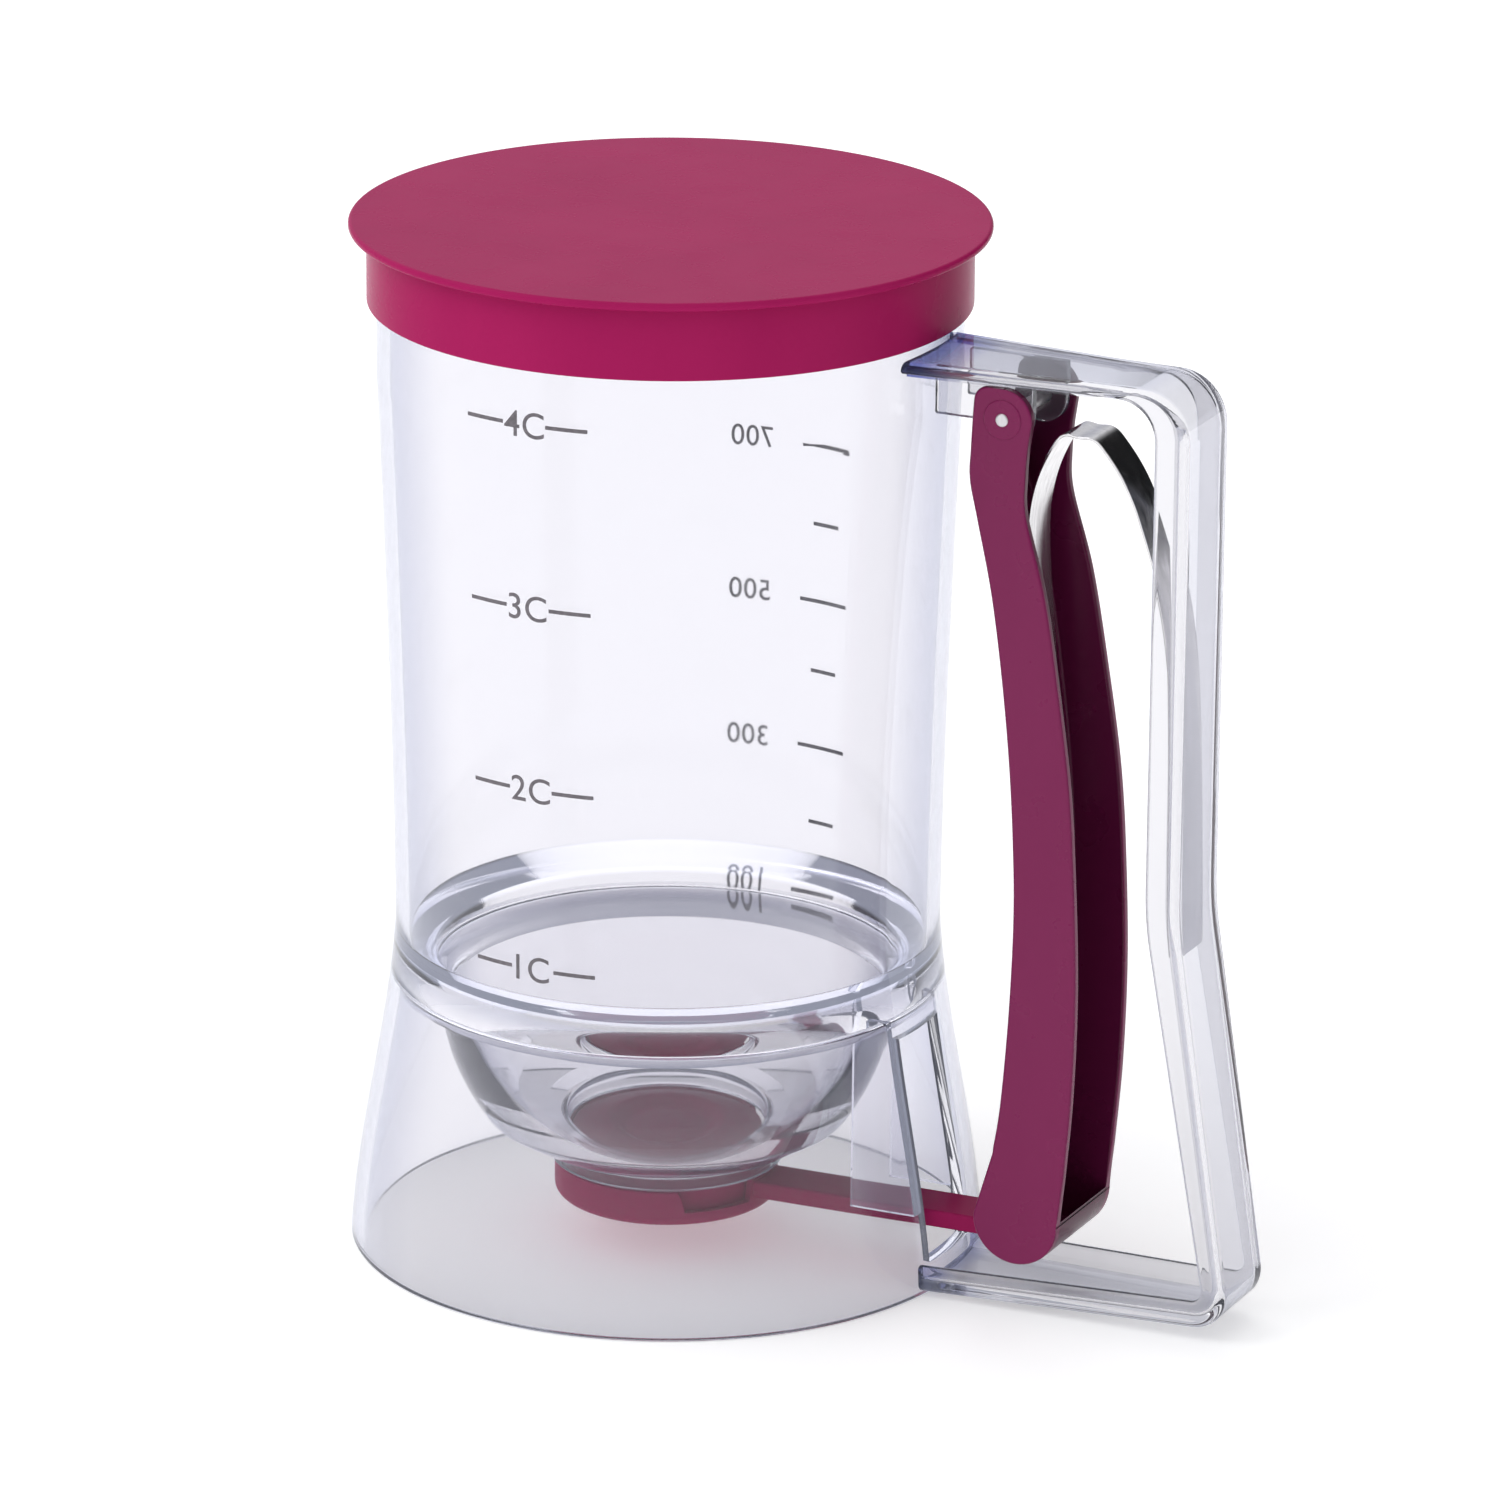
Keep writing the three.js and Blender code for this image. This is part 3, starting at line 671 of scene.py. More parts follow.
class BuildLid(Operator):
    """Turn the lid: a flat disc that overhangs a band round the rim"""
    bl_idname = "batter_dispenser.lid"
    bl_label = "Lid"

    def execute(self, context):
        d = settings()
        s, top = d.lid, LID_TOP
        under, low = top - s.plate, top - s.band_depth
        outer_fillet, inner_fillet, lip = 0.6 * MM, 0.5 * MM, 0.35 * MM
        profile = rounded([
            (0, top, 0), (s.radius, top, s.edge), (s.radius, under, s.edge),
            (s.band_radius, under, outer_fillet), (s.band_radius, low, lip), (s.bore, low, lip),
            (s.bore, under, inner_fillet), (0, under, 0)])
        finish = coloured_plastic("lid_plastic", d.finishes.lid, gloss=0.24, sheen=0.025)
        piece("lid_cap", *turned(profile), finish, "lid", "lid_plastic", ["lid"])
        return {"FINISHED"}


class BuildBody(Operator):
    """Turn the hopper, its funnel bowl and the flared skirt, cut the doorway and stand the guide walls"""
    bl_idname = "batter_dispenser.body"
    bl_label = "Hopper, funnel and skirt"

    def bowl(self, d):
        """Profile of the bowl from the hopper's bore down its inner face, round the collar and up its
        outer face. Under the brim the inner face flares as r = r0 + F (cos a0 - cos a),
        z = z0 + F (sin a - sin a0), and below that it is an arc of radius R about (-x, c). The outer
        face is an arc about the axis between a cone and the flange's sloping underside."""
        s, h = d.bowl, d.hopper
        bore = h.waist_radius - h.wall
        seat = h.waist_height - h.lip_drop - s.flange
        # Angles of the inner face: at the brim, where the flare ends, and where the collar begins
        steep, start, end = math.radians(28), math.radians(8), math.radians(44)
        inside = arc((-s.inner_shift, s.inner_centre), s.inner_radius, -np.linspace(start, end, 40))
        a = np.linspace(steep, start, 24)[:-1]
        flare = inside[0] + s.flare * np.stack(
            [math.cos(start) - np.cos(a), np.sin(a) - math.sin(start)], -1)
        edge = flare[0, 0] + (s.brim - flare[0, 1]) * math.tan(steep)
        brim = rounded([(bore, h.waist_height, 0), (bore, s.brim + (bore - edge) * s.brim_slope, 0.25 * MM),
                        (edge, s.brim, 0.5 * MM), (*flare[0], 0)], steps=4, closed=False)
        a = np.linspace(math.asin((s.cone_top - s.centre) / s.radius),
                        math.asin((s.slope_foot - s.centre) / s.radius), 36)
        outside = arc((0, s.centre), s.radius, a)
        # Corners of the collar: radius, height and rounding
        throat = (s.collar_bore + 1.9 * MM, s.collar_top + 0.7 * MM, 6 * MM)
        bore_top = (s.collar_bore, s.collar_top - 0.4 * MM, 0.8 * MM)
        shoulder = (s.collar_radius, s.collar_top - 2.2 * MM, 0.8 * MM)
        cone_foot = (s.cone_radius, s.collar_top - 1 * MM, 1 * MM)
        collar = rounded([
            (*inside[-1], 0), throat, bore_top, (s.collar_bore, s.collar_bottom, 0.3 * MM),
            (s.collar_radius, s.collar_bottom, 0.5 * MM), shoulder, cone_foot, (*outside[0], 0)],
            closed=False)
        fillet = 1.5 * MM
        under = skirt_radius(d, seat - fillet) - h.wall
        ledge = rounded([(*outside[-1], 0), (under, seat, fillet), (under, seat - fillet, 0)], closed=False)
        return np.concatenate([brim, flare[1:], inside, collar[1:-1], outside[:-1], ledge[1:]])

    def shell(self, d):
        """Wall on a grid of profile points by columns. The columns beside the doorway follow
        y = +-w, so at radius r they stand at the angle asin(w / r), and the next ones y = +-(w + g).
        Quads in the doorway are left out, and strips join the outer face to the inner one round it.
        Between w and w + g the inner face grows inwards into a guide wall."""
        s, h = d.skirt, d.hopper
        foot_top, foot_edge, foot_draw, rim_edge = 0.8 * MM, 0.6 * MM, 0.05 * MM, 1 * MM
        # Number of the doorway's last column
        last = 16
        door = np.linspace(s.door_sill, s.door_top, 30)
        low = np.linspace(foot_top, s.door_sill, 4)[:-1]
        waist = np.linspace(s.door_top, h.waist_height, 12)[1:]
        tube_z = np.linspace(h.waist_height, h.taper_top, 40)[1:]
        rim_bore = h.rim_radius - h.wall
        rim = rounded([(h.rim_radius, h.taper_top, 0), (h.rim_radius, h.height, rim_edge),
                       (rim_bore, h.height, rim_edge), (rim_bore, h.taper_top, 0)], closed=False)
        skirt_z, inner_z = np.concatenate([low, door, waist]), np.concatenate([door[::-1], low[::-1]])
        outer = np.concatenate([spread(skirt_radius(d, skirt_z), skirt_z),
                                spread(hopper_radius(h, tube_z), tube_z), rim[1:-1]])
        upper = np.concatenate([spread(hopper_radius(h, tube_z[::-1]) - h.wall, tube_z[::-1]),
                                self.bowl(d)])
        inner = np.concatenate([upper, spread(skirt_radius(d, inner_z) - h.wall, inner_z)])
        foot = rounded([
            (inner[-1, 0], foot_top, 0), (inner[-1, 0] + foot_draw, 0, foot_edge),
            (outer[0, 0] - foot_draw, 0, foot_edge), (outer[0, 0], foot_top, 0)], closed=False)
        profile = np.concatenate([outer, inner, foot[1:-1]])
        stand = np.maximum(profile[:, :1], s.guide_inner)
        edge_angle, back_angle = (np.arcsin(w / stand) for w in (s.door_half_width,
                                                                 s.door_half_width + s.guide_wall))
        across, round_ = np.linspace(-1, 1, last + 1), np.linspace(0, 1, TURNS - last - 1)
        points, _ = turned(profile, np.concatenate(
            [edge_angle * across, back_angle + (2 * np.pi - 2 * back_angle) * round_], 1))
        rows, columns = points.shape[:2]
        grid = cells(rows, columns, True, True)
        first_out = len(low)
        last_out = first_out + len(door) - 1
        first_in = len(outer) + len(upper)
        last_in = first_in + len(door) - 1
        guide = np.arange(first_in - 1, first_in + np.sum(door >= s.guide_bottom))
        keep = np.ones(grid.shape[:2], bool)
        keep[first_out:last_out, :last] = False
        keep[first_in:last_in, :last] = False
        keep[guide[0]:guide[-1], [last, columns - 1]] = False
        number = np.arange(rows * columns).reshape(rows, columns)
        outs, ins = np.arange(first_out, last_out + 1), np.arange(last_in, first_in - 1, -1)
        joins = [strip(number[outs, j], number[ins, j]) for j in (0, last)]
        joins += [strip(number[outs[k], :last + 1], number[ins[k], :last + 1]) for k in (0, -1)]
        free = []
        for side, near, far in ((1, last, last + 1), (-1, 0, columns - 1)):
            edge = rows * columns + len(free) * 2 * len(guide) + np.arange(len(guide))
            y = side * np.array([[s.door_half_width], [s.door_half_width + s.guide_wall]])
            free.append(spread(s.guide_inner, y, profile[guide, 1]).reshape(-1, 3))
            ring = np.stack([number[guide, near], edge, edge + len(guide), number[guide, far]])
            joins += [strip(ring[k], ring[k + 1]) for k in range(3)] + [ring[:, [0, -1]].T]
        return np.concatenate([points.reshape(-1, 3), *free]), np.concatenate([grid[keep], *joins])

    def execute(self, context):
        d = settings()
        piece("body_shell", *self.shell(d), clear_plastic("body_plastic", d), "frame", "clear_plastic",
              ["hopper_wall", "base_skirt", "funnel_bowl"])
        return {"FINISHED"}


class BuildHandle(Operator):
    """Sweep the clear loop handle: a channel round the outer line, open towards the trigger"""
    bl_idname = "batter_dispenser.handle"
    bl_label = "Handle"

    def lines(self, s, top_root, low_root):
        """Outer and inner line of the loop, corner for corner: along the top arm, down the post with
        its knee, and back along the bottom arm."""
        bend, under, low_depth = 84 * MM, s.top - s.arm_depth, 5 * MM
        outer = [(top_root, s.top, 0), (bend, s.top, 0), (s.outer, s.top, 9 * MM),
                 (s.outer, s.knee, 60 * MM), (s.foot_outer, s.low_bottom, 6.5 * MM),
                 (low_root, s.low_root, 0)]
        inner = [(top_root, under, 0), (bend, under, 0), (s.inner, under, 7 * MM),
                 (s.inner, s.knee, 66 * MM), (s.foot_inner, s.low_top, 2 * MM),
                 (low_root, s.low_root + low_depth, 0)]
        return [rounded(corners, steps=14, closed=False) for corners in (outer, inner)]

    def hug(self, points, top_root, low_root):
        """Moves a root's end in so that it follows the round body: by r - sqrt(r^2 - y^2), fading to
        nothing at a set reach along the arm."""
        split, furthest, reach = 90 * MM, 70 * MM, 12 * MM
        x, y, z = points[..., 0], points[..., 1], points[..., 2]
        root = np.where(z > split, top_root, low_root)
        fade = np.clip(1 - (x - root) / reach, 0, 1)
        shift = np.where(x < furthest, -(root - np.sqrt(root ** 2 - y ** 2)) * fade, 0)
        return spread(x + shift, y, z)

    def execute(self, context):
        d = settings()
        s = d.handle
        top_sunk, low_sunk = 0.2 * MM, 0.4 * MM
        top_root = hopper_radius(d.hopper, s.top) - top_sunk
        low_root = skirt_radius(d, s.low_root) - low_sunk
        outer, inner = self.lines(s, top_root, low_root)
        depth = np.linalg.norm(inner - outer, axis=1)[:, None]
        taper_end, web_share, tip = 88 * MM, 0.62, 0.8 * MM
        taper = np.clip((taper_end - outer[:, 0]) / (taper_end - top_root), 0, 1)
        half_width = s.half_width + (s.root_half_width - s.half_width) * taper
        web = np.minimum(s.web, depth * web_share)
        section = channel_section(depth, half_width, s.wall, web, s.round, tip)
        points, faces = tube(swept(outer, inner, depth, *section))
        finish = clear_plastic("handle_plastic", d, (53.5 * MM, 61.5 * MM), HANDLE_PAINTED_SHADE)
        piece("handle_loop", self.hug(points, top_root, low_root), faces, finish, "frame",
              "clear_plastic", ["handle_top_arm", "handle_post", "handle_bottom_arm"])
        return {"FINISHED"}


class BuildPivot(Operator):
    """Cut the pivot block's two plates under the top arm and put the pin through them"""
    bl_idname = "batter_dispenser.pivot"
    bl_label = "Pivot"

    def execute(self, context):
        d = settings()
        t = d.trigger
        pin, boss, edge = (t.pivot_x, t.pivot_z), 4.6 * MM, 0.3 * MM
        # The plates' upper edge, their end beside the hopper and the lower edge of that end
        top, end, low = d.handle.top - d.handle.arm_depth - 0.1 * MM, 55.4 * MM, t.pivot_z - 1.3 * MM
        a = np.linspace(math.radians(205), math.radians(360), 20)
        outline = np.concatenate([
            rounded([(t.pivot_x + boss, top, 0), (end, top, 0.3 * MM), (end, low, 0.5 * MM),
                     (t.pivot_x - boss, low, 0)], closed=False), arc(pin, boss, a)])
        half_plate, apart = 0.9 * MM, 7.1 * MM
        points, faces = slab(outline, half_plate, edge)
        plates = joined(*[(points + [0, side * apart, 0], faces) for side in (-1, 1)])
        piece("pivot_rail", *plates, clear_plastic("pivot_plastic", d, None, HANDLE_PAINTED_SHADE), "frame",
              "clear_plastic", ["pivot_block"])
        proud = 0.5 * MM
        piece("pivot_pin_steel", *slab(circle(pin, t.pin, 48), t.top_half_width + proud, edge),
              bright_steel("pin_steel", d, 0.4), "frame", "pin_steel", ["pivot_pin"])
        return {"FINISHED"}


# Knots of the trigger's two lines, each as (share of the length down, share of the bow outwards)
BACK_SHARES = [[0, -0.362], [0.039, -0.38], [0.074, -0.387], [0.12, -0.288], [0.21, -0.092],
               [0.325, 0.074], [0.442, 0.19], [0.56, 0.245], [0.681, 0.215], [0.804, 0.129],
               [0.866, 0.043]]
FRONT_SHARES = [[0.03, 0.294], [0.066, 0.27], [0.111, 0.288], [0.201, 0.528], [0.316, 0.724],
                [0.431, 0.883], [0.549, 0.963], [0.668, 1], [0.789, 0.969], [0.89, 0.89]]


def trigger_lines(t):
    """Back and front lines of the trigger's side view, from shares of its length and its bow."""
    scale, pin = np.array([-t.reach, t.bow]), np.array([t.pivot_z, t.pivot_x])
    return [spline(pin + np.array(shares) * scale, 240)[:, ::-1] for shares in (BACK_SHARES, FRONT_SHARES)]


class BuildTrigger(Operator):
    """Sweep the squeeze trigger: a channel from its two ears to its round toe"""
    bl_idname = "batter_dispenser.trigger"
    bl_label = "Trigger"

    def lines(self, t, ears):
        """Matching points of the back and the front line. Round the ears both start at the top, then
        they share their heights, and round the toe the back line runs on to meet the front one."""
        back, front = trigger_lines(t)
        crown, crown_radius, ear_top = t.pivot_x - 0.4 * MM, 2.6 * MM, t.pivot_z + t.ear
        crown_angle, toe_angles = 86, (180, 357)
        a = np.radians(crown_angle - crown_angle * np.linspace(0, 1, 14))
        ear_front = arc((t.pivot_x, t.pivot_z), t.ear, a)
        ear_back = rounded([(crown, ear_top, 0), (t.pivot_x - t.ear, ear_top, crown_radius),
                            (back[0, 0], t.pivot_z, 0)], closed=False)[:-1]
        low, meet = 30 * MM, 0.4 * MM
        toe = np.array([t.pivot_x + t.toe_offset, t.pivot_z - t.reach + t.toe])
        toe_back = arc(toe, t.toe, np.radians(np.linspace(*toe_angles, 40)))
        toe_front = (toe + [t.toe, meet])[None]
        made = []
        for line, ear, toe_end in ((back, ear_back, toe_back), (front, ear_front, toe_front)):
            z = line[:, 1]
            upper = np.concatenate([ear, line[z > t.web_top], at_heights(line, np.array([t.web_top]))])
            lower = np.concatenate([at_heights(line, np.array([low])), line[z < low], toe_end])
            made.append(np.concatenate([
                along(upper, np.linspace(0, 1, ears)), at_heights(line, np.linspace(t.web_top, low, 110)),
                along(lower, np.linspace(0, 1, 44)[1:])]))
        return made

    def execute(self, context):
        d = settings()
        t = d.trigger
        ears, edge, tip = 30, 0.7 * MM, 0.5 * MM
        back, front = self.lines(t, ears)
        depth = np.linalg.norm(front - back, axis=1)[:, None]
        middle, shoulder = t.pivot_z - t.reach / 2, t.pivot_z - t.ear * 2
        half_width = np.interp(back[:, 1], [middle, shoulder], [t.low_half_width, t.top_half_width])
        dist, y = channel_section(depth, half_width, t.wall, t.web, edge, tip)
        a = np.linspace(0, np.pi / 2, 5)
        dist[:ears, -5:] = edge * (1 - np.sin(a))
        y[:ears, -5:] = (-half_width[:ears, None] + t.wall) - edge * (1 - np.cos(a))
        half = dist.shape[1]
        points = swept(back, front, depth, np.clip(dist, 0, depth), y)
        rows, columns = points.shape[:2]
        number = np.arange(rows * columns).reshape(rows, columns)
        grid = cells(rows, columns, False, True)
        keep = np.ones(grid.shape[:2], bool)
        keep[:ears - 1, [half - 1, columns - 1]] = False
        near = strip(number[:ears, 0], number[:ears, half - 1])
        far = strip(number[:ears, half], number[:ears, -1])
        faces = grid[keep].tolist() + near.tolist() + far.tolist() + [
            [number[ears - 1, k] for k in (0, half - 1, half, columns - 1)],
            number[0, :half].tolist(), number[0, half:].tolist(), number[-1].tolist()]
        # Painted shade: the inside of the trigger's channel is made half as light
        finish = coloured_plastic("trigger_plastic", d.finishes.trigger, gloss=0.26,
                                  inner=t.top_half_width - 0.45 * MM, sheen=0.2)
        piece("trigger_lever", points, faces, finish, "trigger", "trigger_plastic", ["trigger"])
        boss, half_boss, boss_edge, sunk = 3.6 * MM, 0.5 * MM, 0.25 * MM, 0.3 * MM
        for side, word in ((-1, "near"), (1, "far")):
            points, faces = slab(circle((t.pivot_x, t.pivot_z), boss, 64), half_boss, boss_edge)
            points = points + [0, side * (t.top_half_width - sunk), 0]
            piece(f"ear_boss_{word}", points, faces, finish, "trigger", "trigger_plastic")
        return {"FINISHED"}


class BuildSpring(Operator):
    """Bend the leaf spring from the trigger's back, over its crest and down into the post"""
    bl_idname = "batter_dispenser.spring"
    bl_label = "Leaf spring"

    def execute(self, context):
        d = settings()
        s, t, h = d.spring, d.trigger, d.handle
        back, _ = trigger_lines(t)
        gap, corner = 0.15 * MM, 0.12 * MM
        clear = s.thickness / 2 + gap
        foot = [at_heights(back, np.array([s.foot]))[0, 0] + t.web + clear, s.foot]
        end = [h.outer - h.web - clear, s.end]
        # Knots from the pin: above the trigger's back, under the post's top, and the crest between
        knee = [t.pivot_x + 2.7 * MM, t.pivot_z - 19.2 * MM]
        shoulder = [t.pivot_x + 23.7 * MM, t.pivot_z - 16.7 * MM]
        crest, side, drop = t.pivot_x + 12 * MM, 4.5 * MM, 1.5 * MM
        line = spline([
            foot, [(foot[0] + knee[0]) / 2, (foot[1] + knee[1]) / 2], knee,
            [crest - side, s.crest - drop], [crest, s.crest], [crest + side, s.crest - drop],
            shoulder, [(shoulder[0] + 3 * end[0]) / 4, (2 * shoulder[1] + end[1]) / 3], end], 200)
        w, k, e = s.width / 2, s.thickness / 2, corner
        out = np.array([k, k, k - e, -k + e, -k, -k, -k + e, k - e])
        y = np.array([w - e, -w + e, -w, -w, -w + e, w - e, w, w])
        flat = line[:, None] + side_normals(line, closed=False)[:, None] * out[:, None]
        made = piece("spring_leaf", *tube(spread(flat[..., 0], y, flat[..., 1])),
                     bright_steel("spring_steel", d, 0.12))
        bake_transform(made)
        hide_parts("leaf_spring")
        return {"FINISHED"}


class BuildValve(Operator):
    """Turn the valve cup with its dome and notches, and make the arm that carries it"""
    bl_idname = "batter_dispenser.valve"
    bl_label = "Valve"

    def cup(self, s):
        """A turned cup with a dome inside: h = rim + rise (1 - (r / R)^2), less a dimple that falls
        as 3 t^2 - 2 t^3. Between two bearings beside the arm its wall comes down to the notch."""
        floor_top, bore = s.bottom + s.floor, s.radius - s.wall
        foot_edge, rim_edge, fillet, slope, clear = 2 * MM, 0.4 * MM, 0.3 * MM, 0.35, 0.3 * MM
        r = np.linspace(s.plug_radius, 0, 40)
        dimple = smoothstep((s.dimple - r) / (slope * s.dimple)) * s.dimple_depth
        dome = np.stack([r, s.rim + s.plug_rise * (1 - (r / s.plug_radius) ** 2) - dimple], -1)
        wall = rounded([
            (0, s.bottom, 0), (s.radius, s.bottom, foot_edge), (s.radius, s.rim, rim_edge),
            (bore, s.rim, rim_edge), (bore, floor_top, fillet), (s.plug_radius, floor_top, 0)],
            closed=False)
        points, faces = turned(np.concatenate([wall, dome]))
        # Degrees from the arm to a notch's two ends, and the length of each end's slope
        near, far, ramp = 15, 57, 2
        bearing = np.degrees(np.abs(np.arctan2(points[..., 1], points[..., 0])))
        inside = smoothstep((bearing - near) / ramp) * smoothstep((far - bearing) / ramp)
        outer = np.hypot(points[..., 0], points[..., 1]) > s.plug_radius + clear
        lowered = np.minimum(points[..., 2], s.notch)
        points[..., 2] += np.where(outer, (lowered - points[..., 2]) * inside, 0)
        return points, faces

    def arm(self, s):
        """A bar with round edges whose underside rises evenly from the cup to the trigger."""
        lap, end, run = 1.2 * MM, 70.5 * MM, 64.5 * MM
        x = np.array([s.radius - lap, 26 * MM, 40 * MM, 56 * MM, end])[:, None]
        rise = s.arm_inner + (s.arm_outer - s.arm_inner) * (x - s.radius / 2) / run
        w, k, e = s.arm_half_width, s.arm_thickness, 0.5 * MM
        section = rounded([(-w, 0, e), (w, 0, e), (w, k, e), (-w, k, e)], steps=4)
        return tube(spread(x, section[:, 0], rise + section[:, 1]))

    def execute(self, context):
        d = settings()
        finish = coloured_plastic("valve_plastic", d.finishes.valve, gloss=0.34)
        piece("valve_dish", *self.cup(d.valve), finish, "trigger", "valve_plastic", ["valve_cup"])
        piece("valve_arm_bar", *self.arm(d.valve), finish, "trigger", "valve_plastic", ["valve_arm"])
        return {"FINISHED"}


# Heights of the marks and their bearings in degrees, and the ends of the lines across, in millimetres
CUP_HEIGHTS, CUP_BEARING, CUP_LINE = (64.9, 98.4, 132.1, 165.6), -92.5, (4.2, 12)
ML_HEIGHTS, ML_BEARING = (49.5, 64.7, 79.2, 93.8, 107.1, 121.7, 136.1), 98.7
ML_LINE, ML_SHORT_LINE = (-21.3, -10.5), (-19, -13.2)


class PrintMarks(Operator):
    """Print the cup scale and the millilitre scale on the hopper"""
    bl_idname = "batter_dispenser.marks"
    bl_label = "Scales"

    def wrap(self, d, across, up, out, bearing):
        """Flat (across, up, out) laid on the wall: the angle is the bearing plus across / r, and the
        radius is the wall's at that height plus out."""
        wall = np.where(up < d.hopper.waist_height, skirt_radius(d, up), hopper_radius(d.hopper, up))
        lift = 0.03 * MM
        r, a = wall + lift + out, bearing + across / wall
        return spread(r * np.cos(a), r * np.sin(a), up)

    def line(self, d, start, end, height, bearing):
        """A printed line: a thin bar on a grid across, wrapped on the wall."""
        across = np.linspace(start * MM, end * MM, 14)[:, None]
        v, k = d.marks.line / 2, d.marks.ink
        up, out = height + np.array([-v, v, v, -v]), np.array([0, 0, k, k])
        return tube(self.wrap(d, across, up, out, bearing))

    def text(self, d, words, size, height, bearing):
        """Characters as a thin solid, centred on the bearing and wrapped on the wall. The body is the
        font's size over a character's height, and the boldness a share of that height."""
        body, spacing, boldness = 1.42, 1.05, 0.004
        curve = bpy.data.curves.new("figures", "FONT")
        curve.body, curve.size, curve.extrude = words, size * body, d.marks.ink / 2
        curve.align_x, curve.space_character = "CENTER", spacing
        curve.offset = size * boldness
        holder = put("figures", curve)
        bpy.context.view_layer.update()
        mesh = bpy.data.meshes.new_from_object(holder.evaluated_get(bpy.context.evaluated_depsgraph_get()))
        co = np.zeros(len(mesh.vertices) * 3)
        mesh.vertices.foreach_get("co", co)
        co = co.reshape(-1, 3)
        faces = [list(p.vertices) for p in mesh.polygons]
        bpy.data.objects.remove(holder)
        bpy.data.curves.remove(curve)
        bpy.data.meshes.remove(mesh)
        across = co[:, 0] - (co[:, 0].min() + co[:, 0].max()) / 2
        up = co[:, 1] - (co[:, 1].min() + co[:, 1].max()) / 2 + height
        return self.wrap(d, across, up, co[:, 2] + d.marks.ink / 2, bearing), faces

    def execute(self, context):
        d = settings()
        m = d.marks
        finish = printed_ink("scale_ink", d)
        front, rear = math.radians(CUP_BEARING), math.radians(ML_BEARING)
        cups, millilitres, above = [], [], 0.5 * MM
        for count, z in enumerate(CUP_HEIGHTS, 1):
            cups.append(self.text(d, f"{count}C", m.letter, z * MM, front))
            cups += [self.line(d, *(side * x for x in CUP_LINE), z * MM, front) for side in (-1, 1)]
        for step, z in enumerate(ML_HEIGHTS, 1):
            if step % 2:
                millilitres.append(self.text(d, f"{step}00", m.figure, z * MM + above, rear))
            millilitres.append(self.line(d, *(ML_LINE if step % 2 else ML_SHORT_LINE), z * MM, rear))
        for name, marks in (("cup_scale", cups), ("millilitre_scale", millilitres)):
            piece(name, *joined(*marks), finish, "frame", "clear_plastic", level=False, sharp=20)
        return {"FINISHED"}


# Direction of the dark card's middle, and the point that the lamps shine at
CARD, AIM = (0.47, 0.85, 0.24), (0, 0, 0.09)


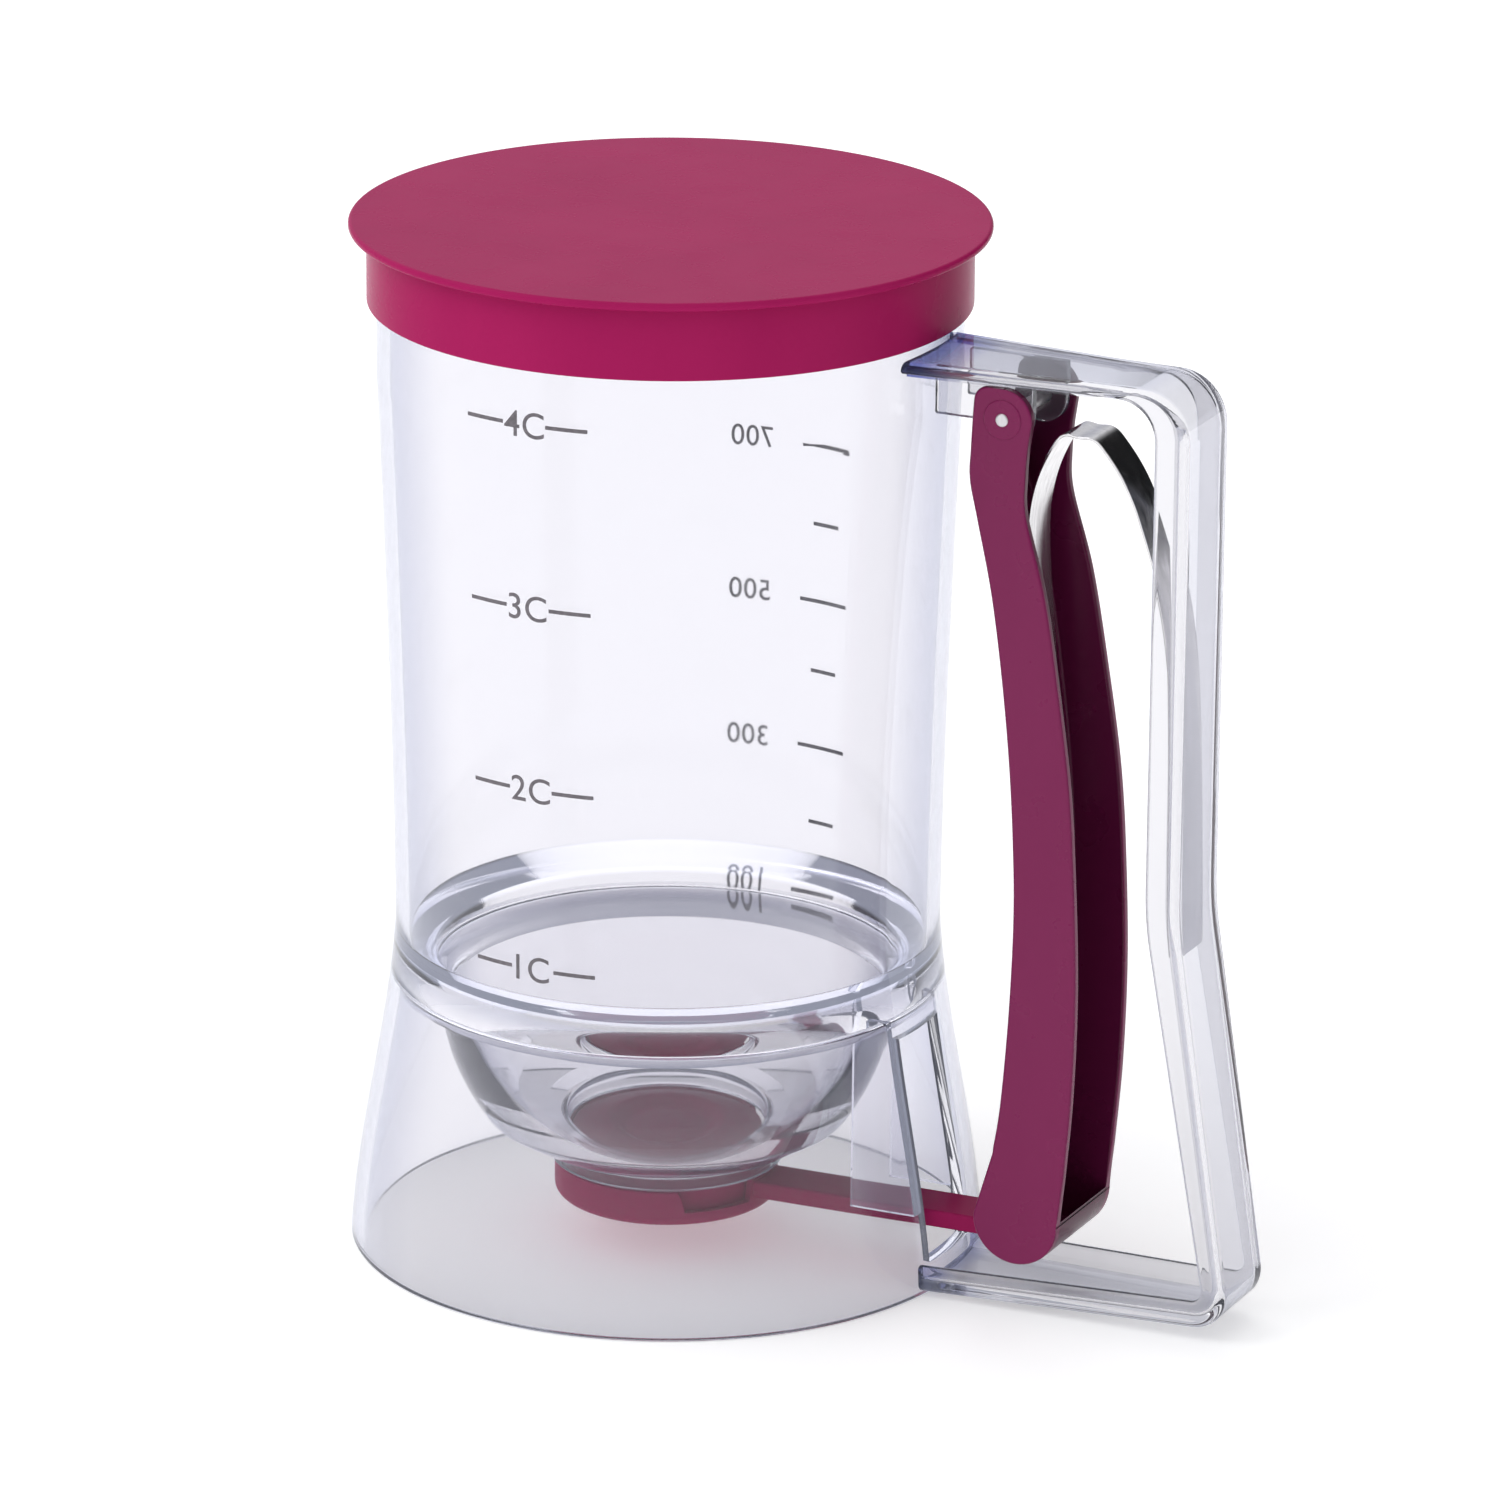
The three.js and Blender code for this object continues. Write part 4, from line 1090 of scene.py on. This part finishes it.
class SetStage(Operator):
    """Lay the floor, hang the lights and place the camera"""
    bl_idname = "batter_dispenser.stage"
    bl_label = "Stage"

    def stand(self, name, data, place, right, up, back):
        """Stands a camera or a lamp at its place, with its axes along right, up and back."""
        made = put(name, data)
        turn = Matrix(np.stack([right, up, back], -1).tolist()).to_4x4()
        made.matrix_world = Matrix.Translation(place) @ turn
        return made

    def camera(self, s):
        """Camera at (D sin a, -D cos a, h) from the hopper's axis. Its view starts level towards the
        axis, turns by the yaw, tips down by the pitch and rolls."""
        place = np.array([s.distance * math.sin(s.azimuth), -s.distance * math.cos(s.azimuth), s.height])
        level = -np.array([math.sin(s.azimuth), -math.cos(s.azimuth), 0])
        c, k = math.cos(s.yaw), math.sin(s.yaw)
        level = np.array([level[0] * c - level[1] * k, level[0] * k + level[1] * c, 0])
        ahead = level * math.cos(s.pitch) + np.array([0, 0, -math.sin(s.pitch)])
        right = unit(np.cross(ahead, [0, 0, 1]))
        up = np.cross(right, ahead)
        c, k = math.cos(s.roll), math.sin(s.roll)
        right, up = right * c + up * k, up * c - right * k
        data = bpy.data.cameras.new("camera")
        data.lens, data.sensor_width = s.lens, 36
        data.clip_start, data.clip_end = 0.05, 50
        bpy.context.scene.camera = self.stand("camera", data, place + [AXIS_X, 0, 0], right, up, -ahead)

    def lamp(self, name, place, power, width, height):
        data = bpy.data.lights.new(name, "AREA")
        data.shape, data.size, data.size_y, data.energy = "RECTANGLE", width, height, power
        back = unit(np.array(place) - AIM)
        right = unit(np.cross([0, 0, 1], back))
        self.stand(name, data, place, right, np.cross(back, right), back)

    def sky(self, s):
        """White light from above that dims and cools towards the horizon, and dims to the right, with
        a dark card standing behind on the right."""
        world = bpy.data.worlds.new("studio")
        net = Net(world)
        bearing = net.node("ShaderNodeTexCoord", output="Generated")
        height = net.node("ShaderNodeSeparateXYZ", None, {0: bearing}, "Z")
        aside = (math.cos(s.azimuth), math.sin(s.azimuth), 0)
        across, card = (net.vector("DOT_PRODUCT", bearing, way, output="Value") for way in (aside, CARD))
        level = (net.ramp(height, 0.02, 0.6, 0.5, 1.05) * net.ramp(across, -0.6, 0.7, 1.15, 0.4)
                 * net.ramp(card, 0.8, 0.93, 1, 0.04))
        tone = net.blend(net.ramp(height, 0.1, 0.6), (0.86, 0.88, 1.0, 1), (1, 1, 1, 1))
        light = net.node("ShaderNodeBackground", None, {"Color": tone, "Strength": level * s.sky})
        net.node("ShaderNodeOutputWorld", None, {"Surface": light})
        bpy.context.scene.world = world

    def execute(self, context):
        d = settings()
        s = d.stage
        reach = np.linspace(-6, 6, 9)
        floor = piece("floor", spread(reach[:, None], reach, 0), cells(9, 9).reshape(-1, 4),
                      floor_finish("floor_paper", d), level=False)
        self.camera(s)
        self.sky(s)
        self.lamp("key", (-1.1, -0.9, 1.5), power=s.key, width=1.1, height=1.1)
        self.lamp("window", (-0.5, 1.3, 1.4), power=s.key * 0.25, width=0.7, height=0.9)
        context.scene.view_settings.view_transform = "Standard"
        return {"FINISHED"}


OPERATORS = (BuildLid, BuildBody, BuildHandle, BuildPivot, BuildTrigger,
             BuildSpring, BuildValve, PrintMarks, SetStage)


class DispenserPanel(Panel):
    """Buttons that build the dispenser, and its sizes and colours"""
    bl_idname = "VIEW3D_PT_batter_dispenser"
    bl_label = "Batter Dispenser"
    bl_space_type = "VIEW_3D"
    bl_region_type = "UI"
    bl_category = "Dispenser"

    def draw(self, context):
        for operator in OPERATORS:
            self.layout.operator(operator.bl_idname)
        for part in Dispenser.__annotations__:
            group = getattr(context.scene.batter_dispenser, part)
            box = self.layout.box()
            for name in group.__annotations__:
                box.prop(group, name)


GROUPS = (LidSizes, HopperSizes, SkirtSizes, BowlSizes, HandleSizes, TriggerSizes, ValveSizes,
          SpringSizes, MarkSizes, Finishes, StageSettings, Dispenser)
CLASSES = GROUPS + OPERATORS + (DispenserPanel,)


def register():
    for kind in CLASSES:
        bpy.utils.register_class(kind)
    bpy.types.Scene.batter_dispenser = PointerProperty(type=Dispenser)


def unregister():
    del bpy.types.Scene.batter_dispenser
    for kind in reversed(CLASSES):
        bpy.utils.unregister_class(kind)


def main():
    register()
    steps = bpy.ops.batter_dispenser
    steps.lid()
    steps.body()
    steps.handle()
    steps.pivot()
    steps.trigger()
    steps.spring()
    steps.valve()
    steps.marks()
    steps.stage()


if __name__ == "__main__":
    main()
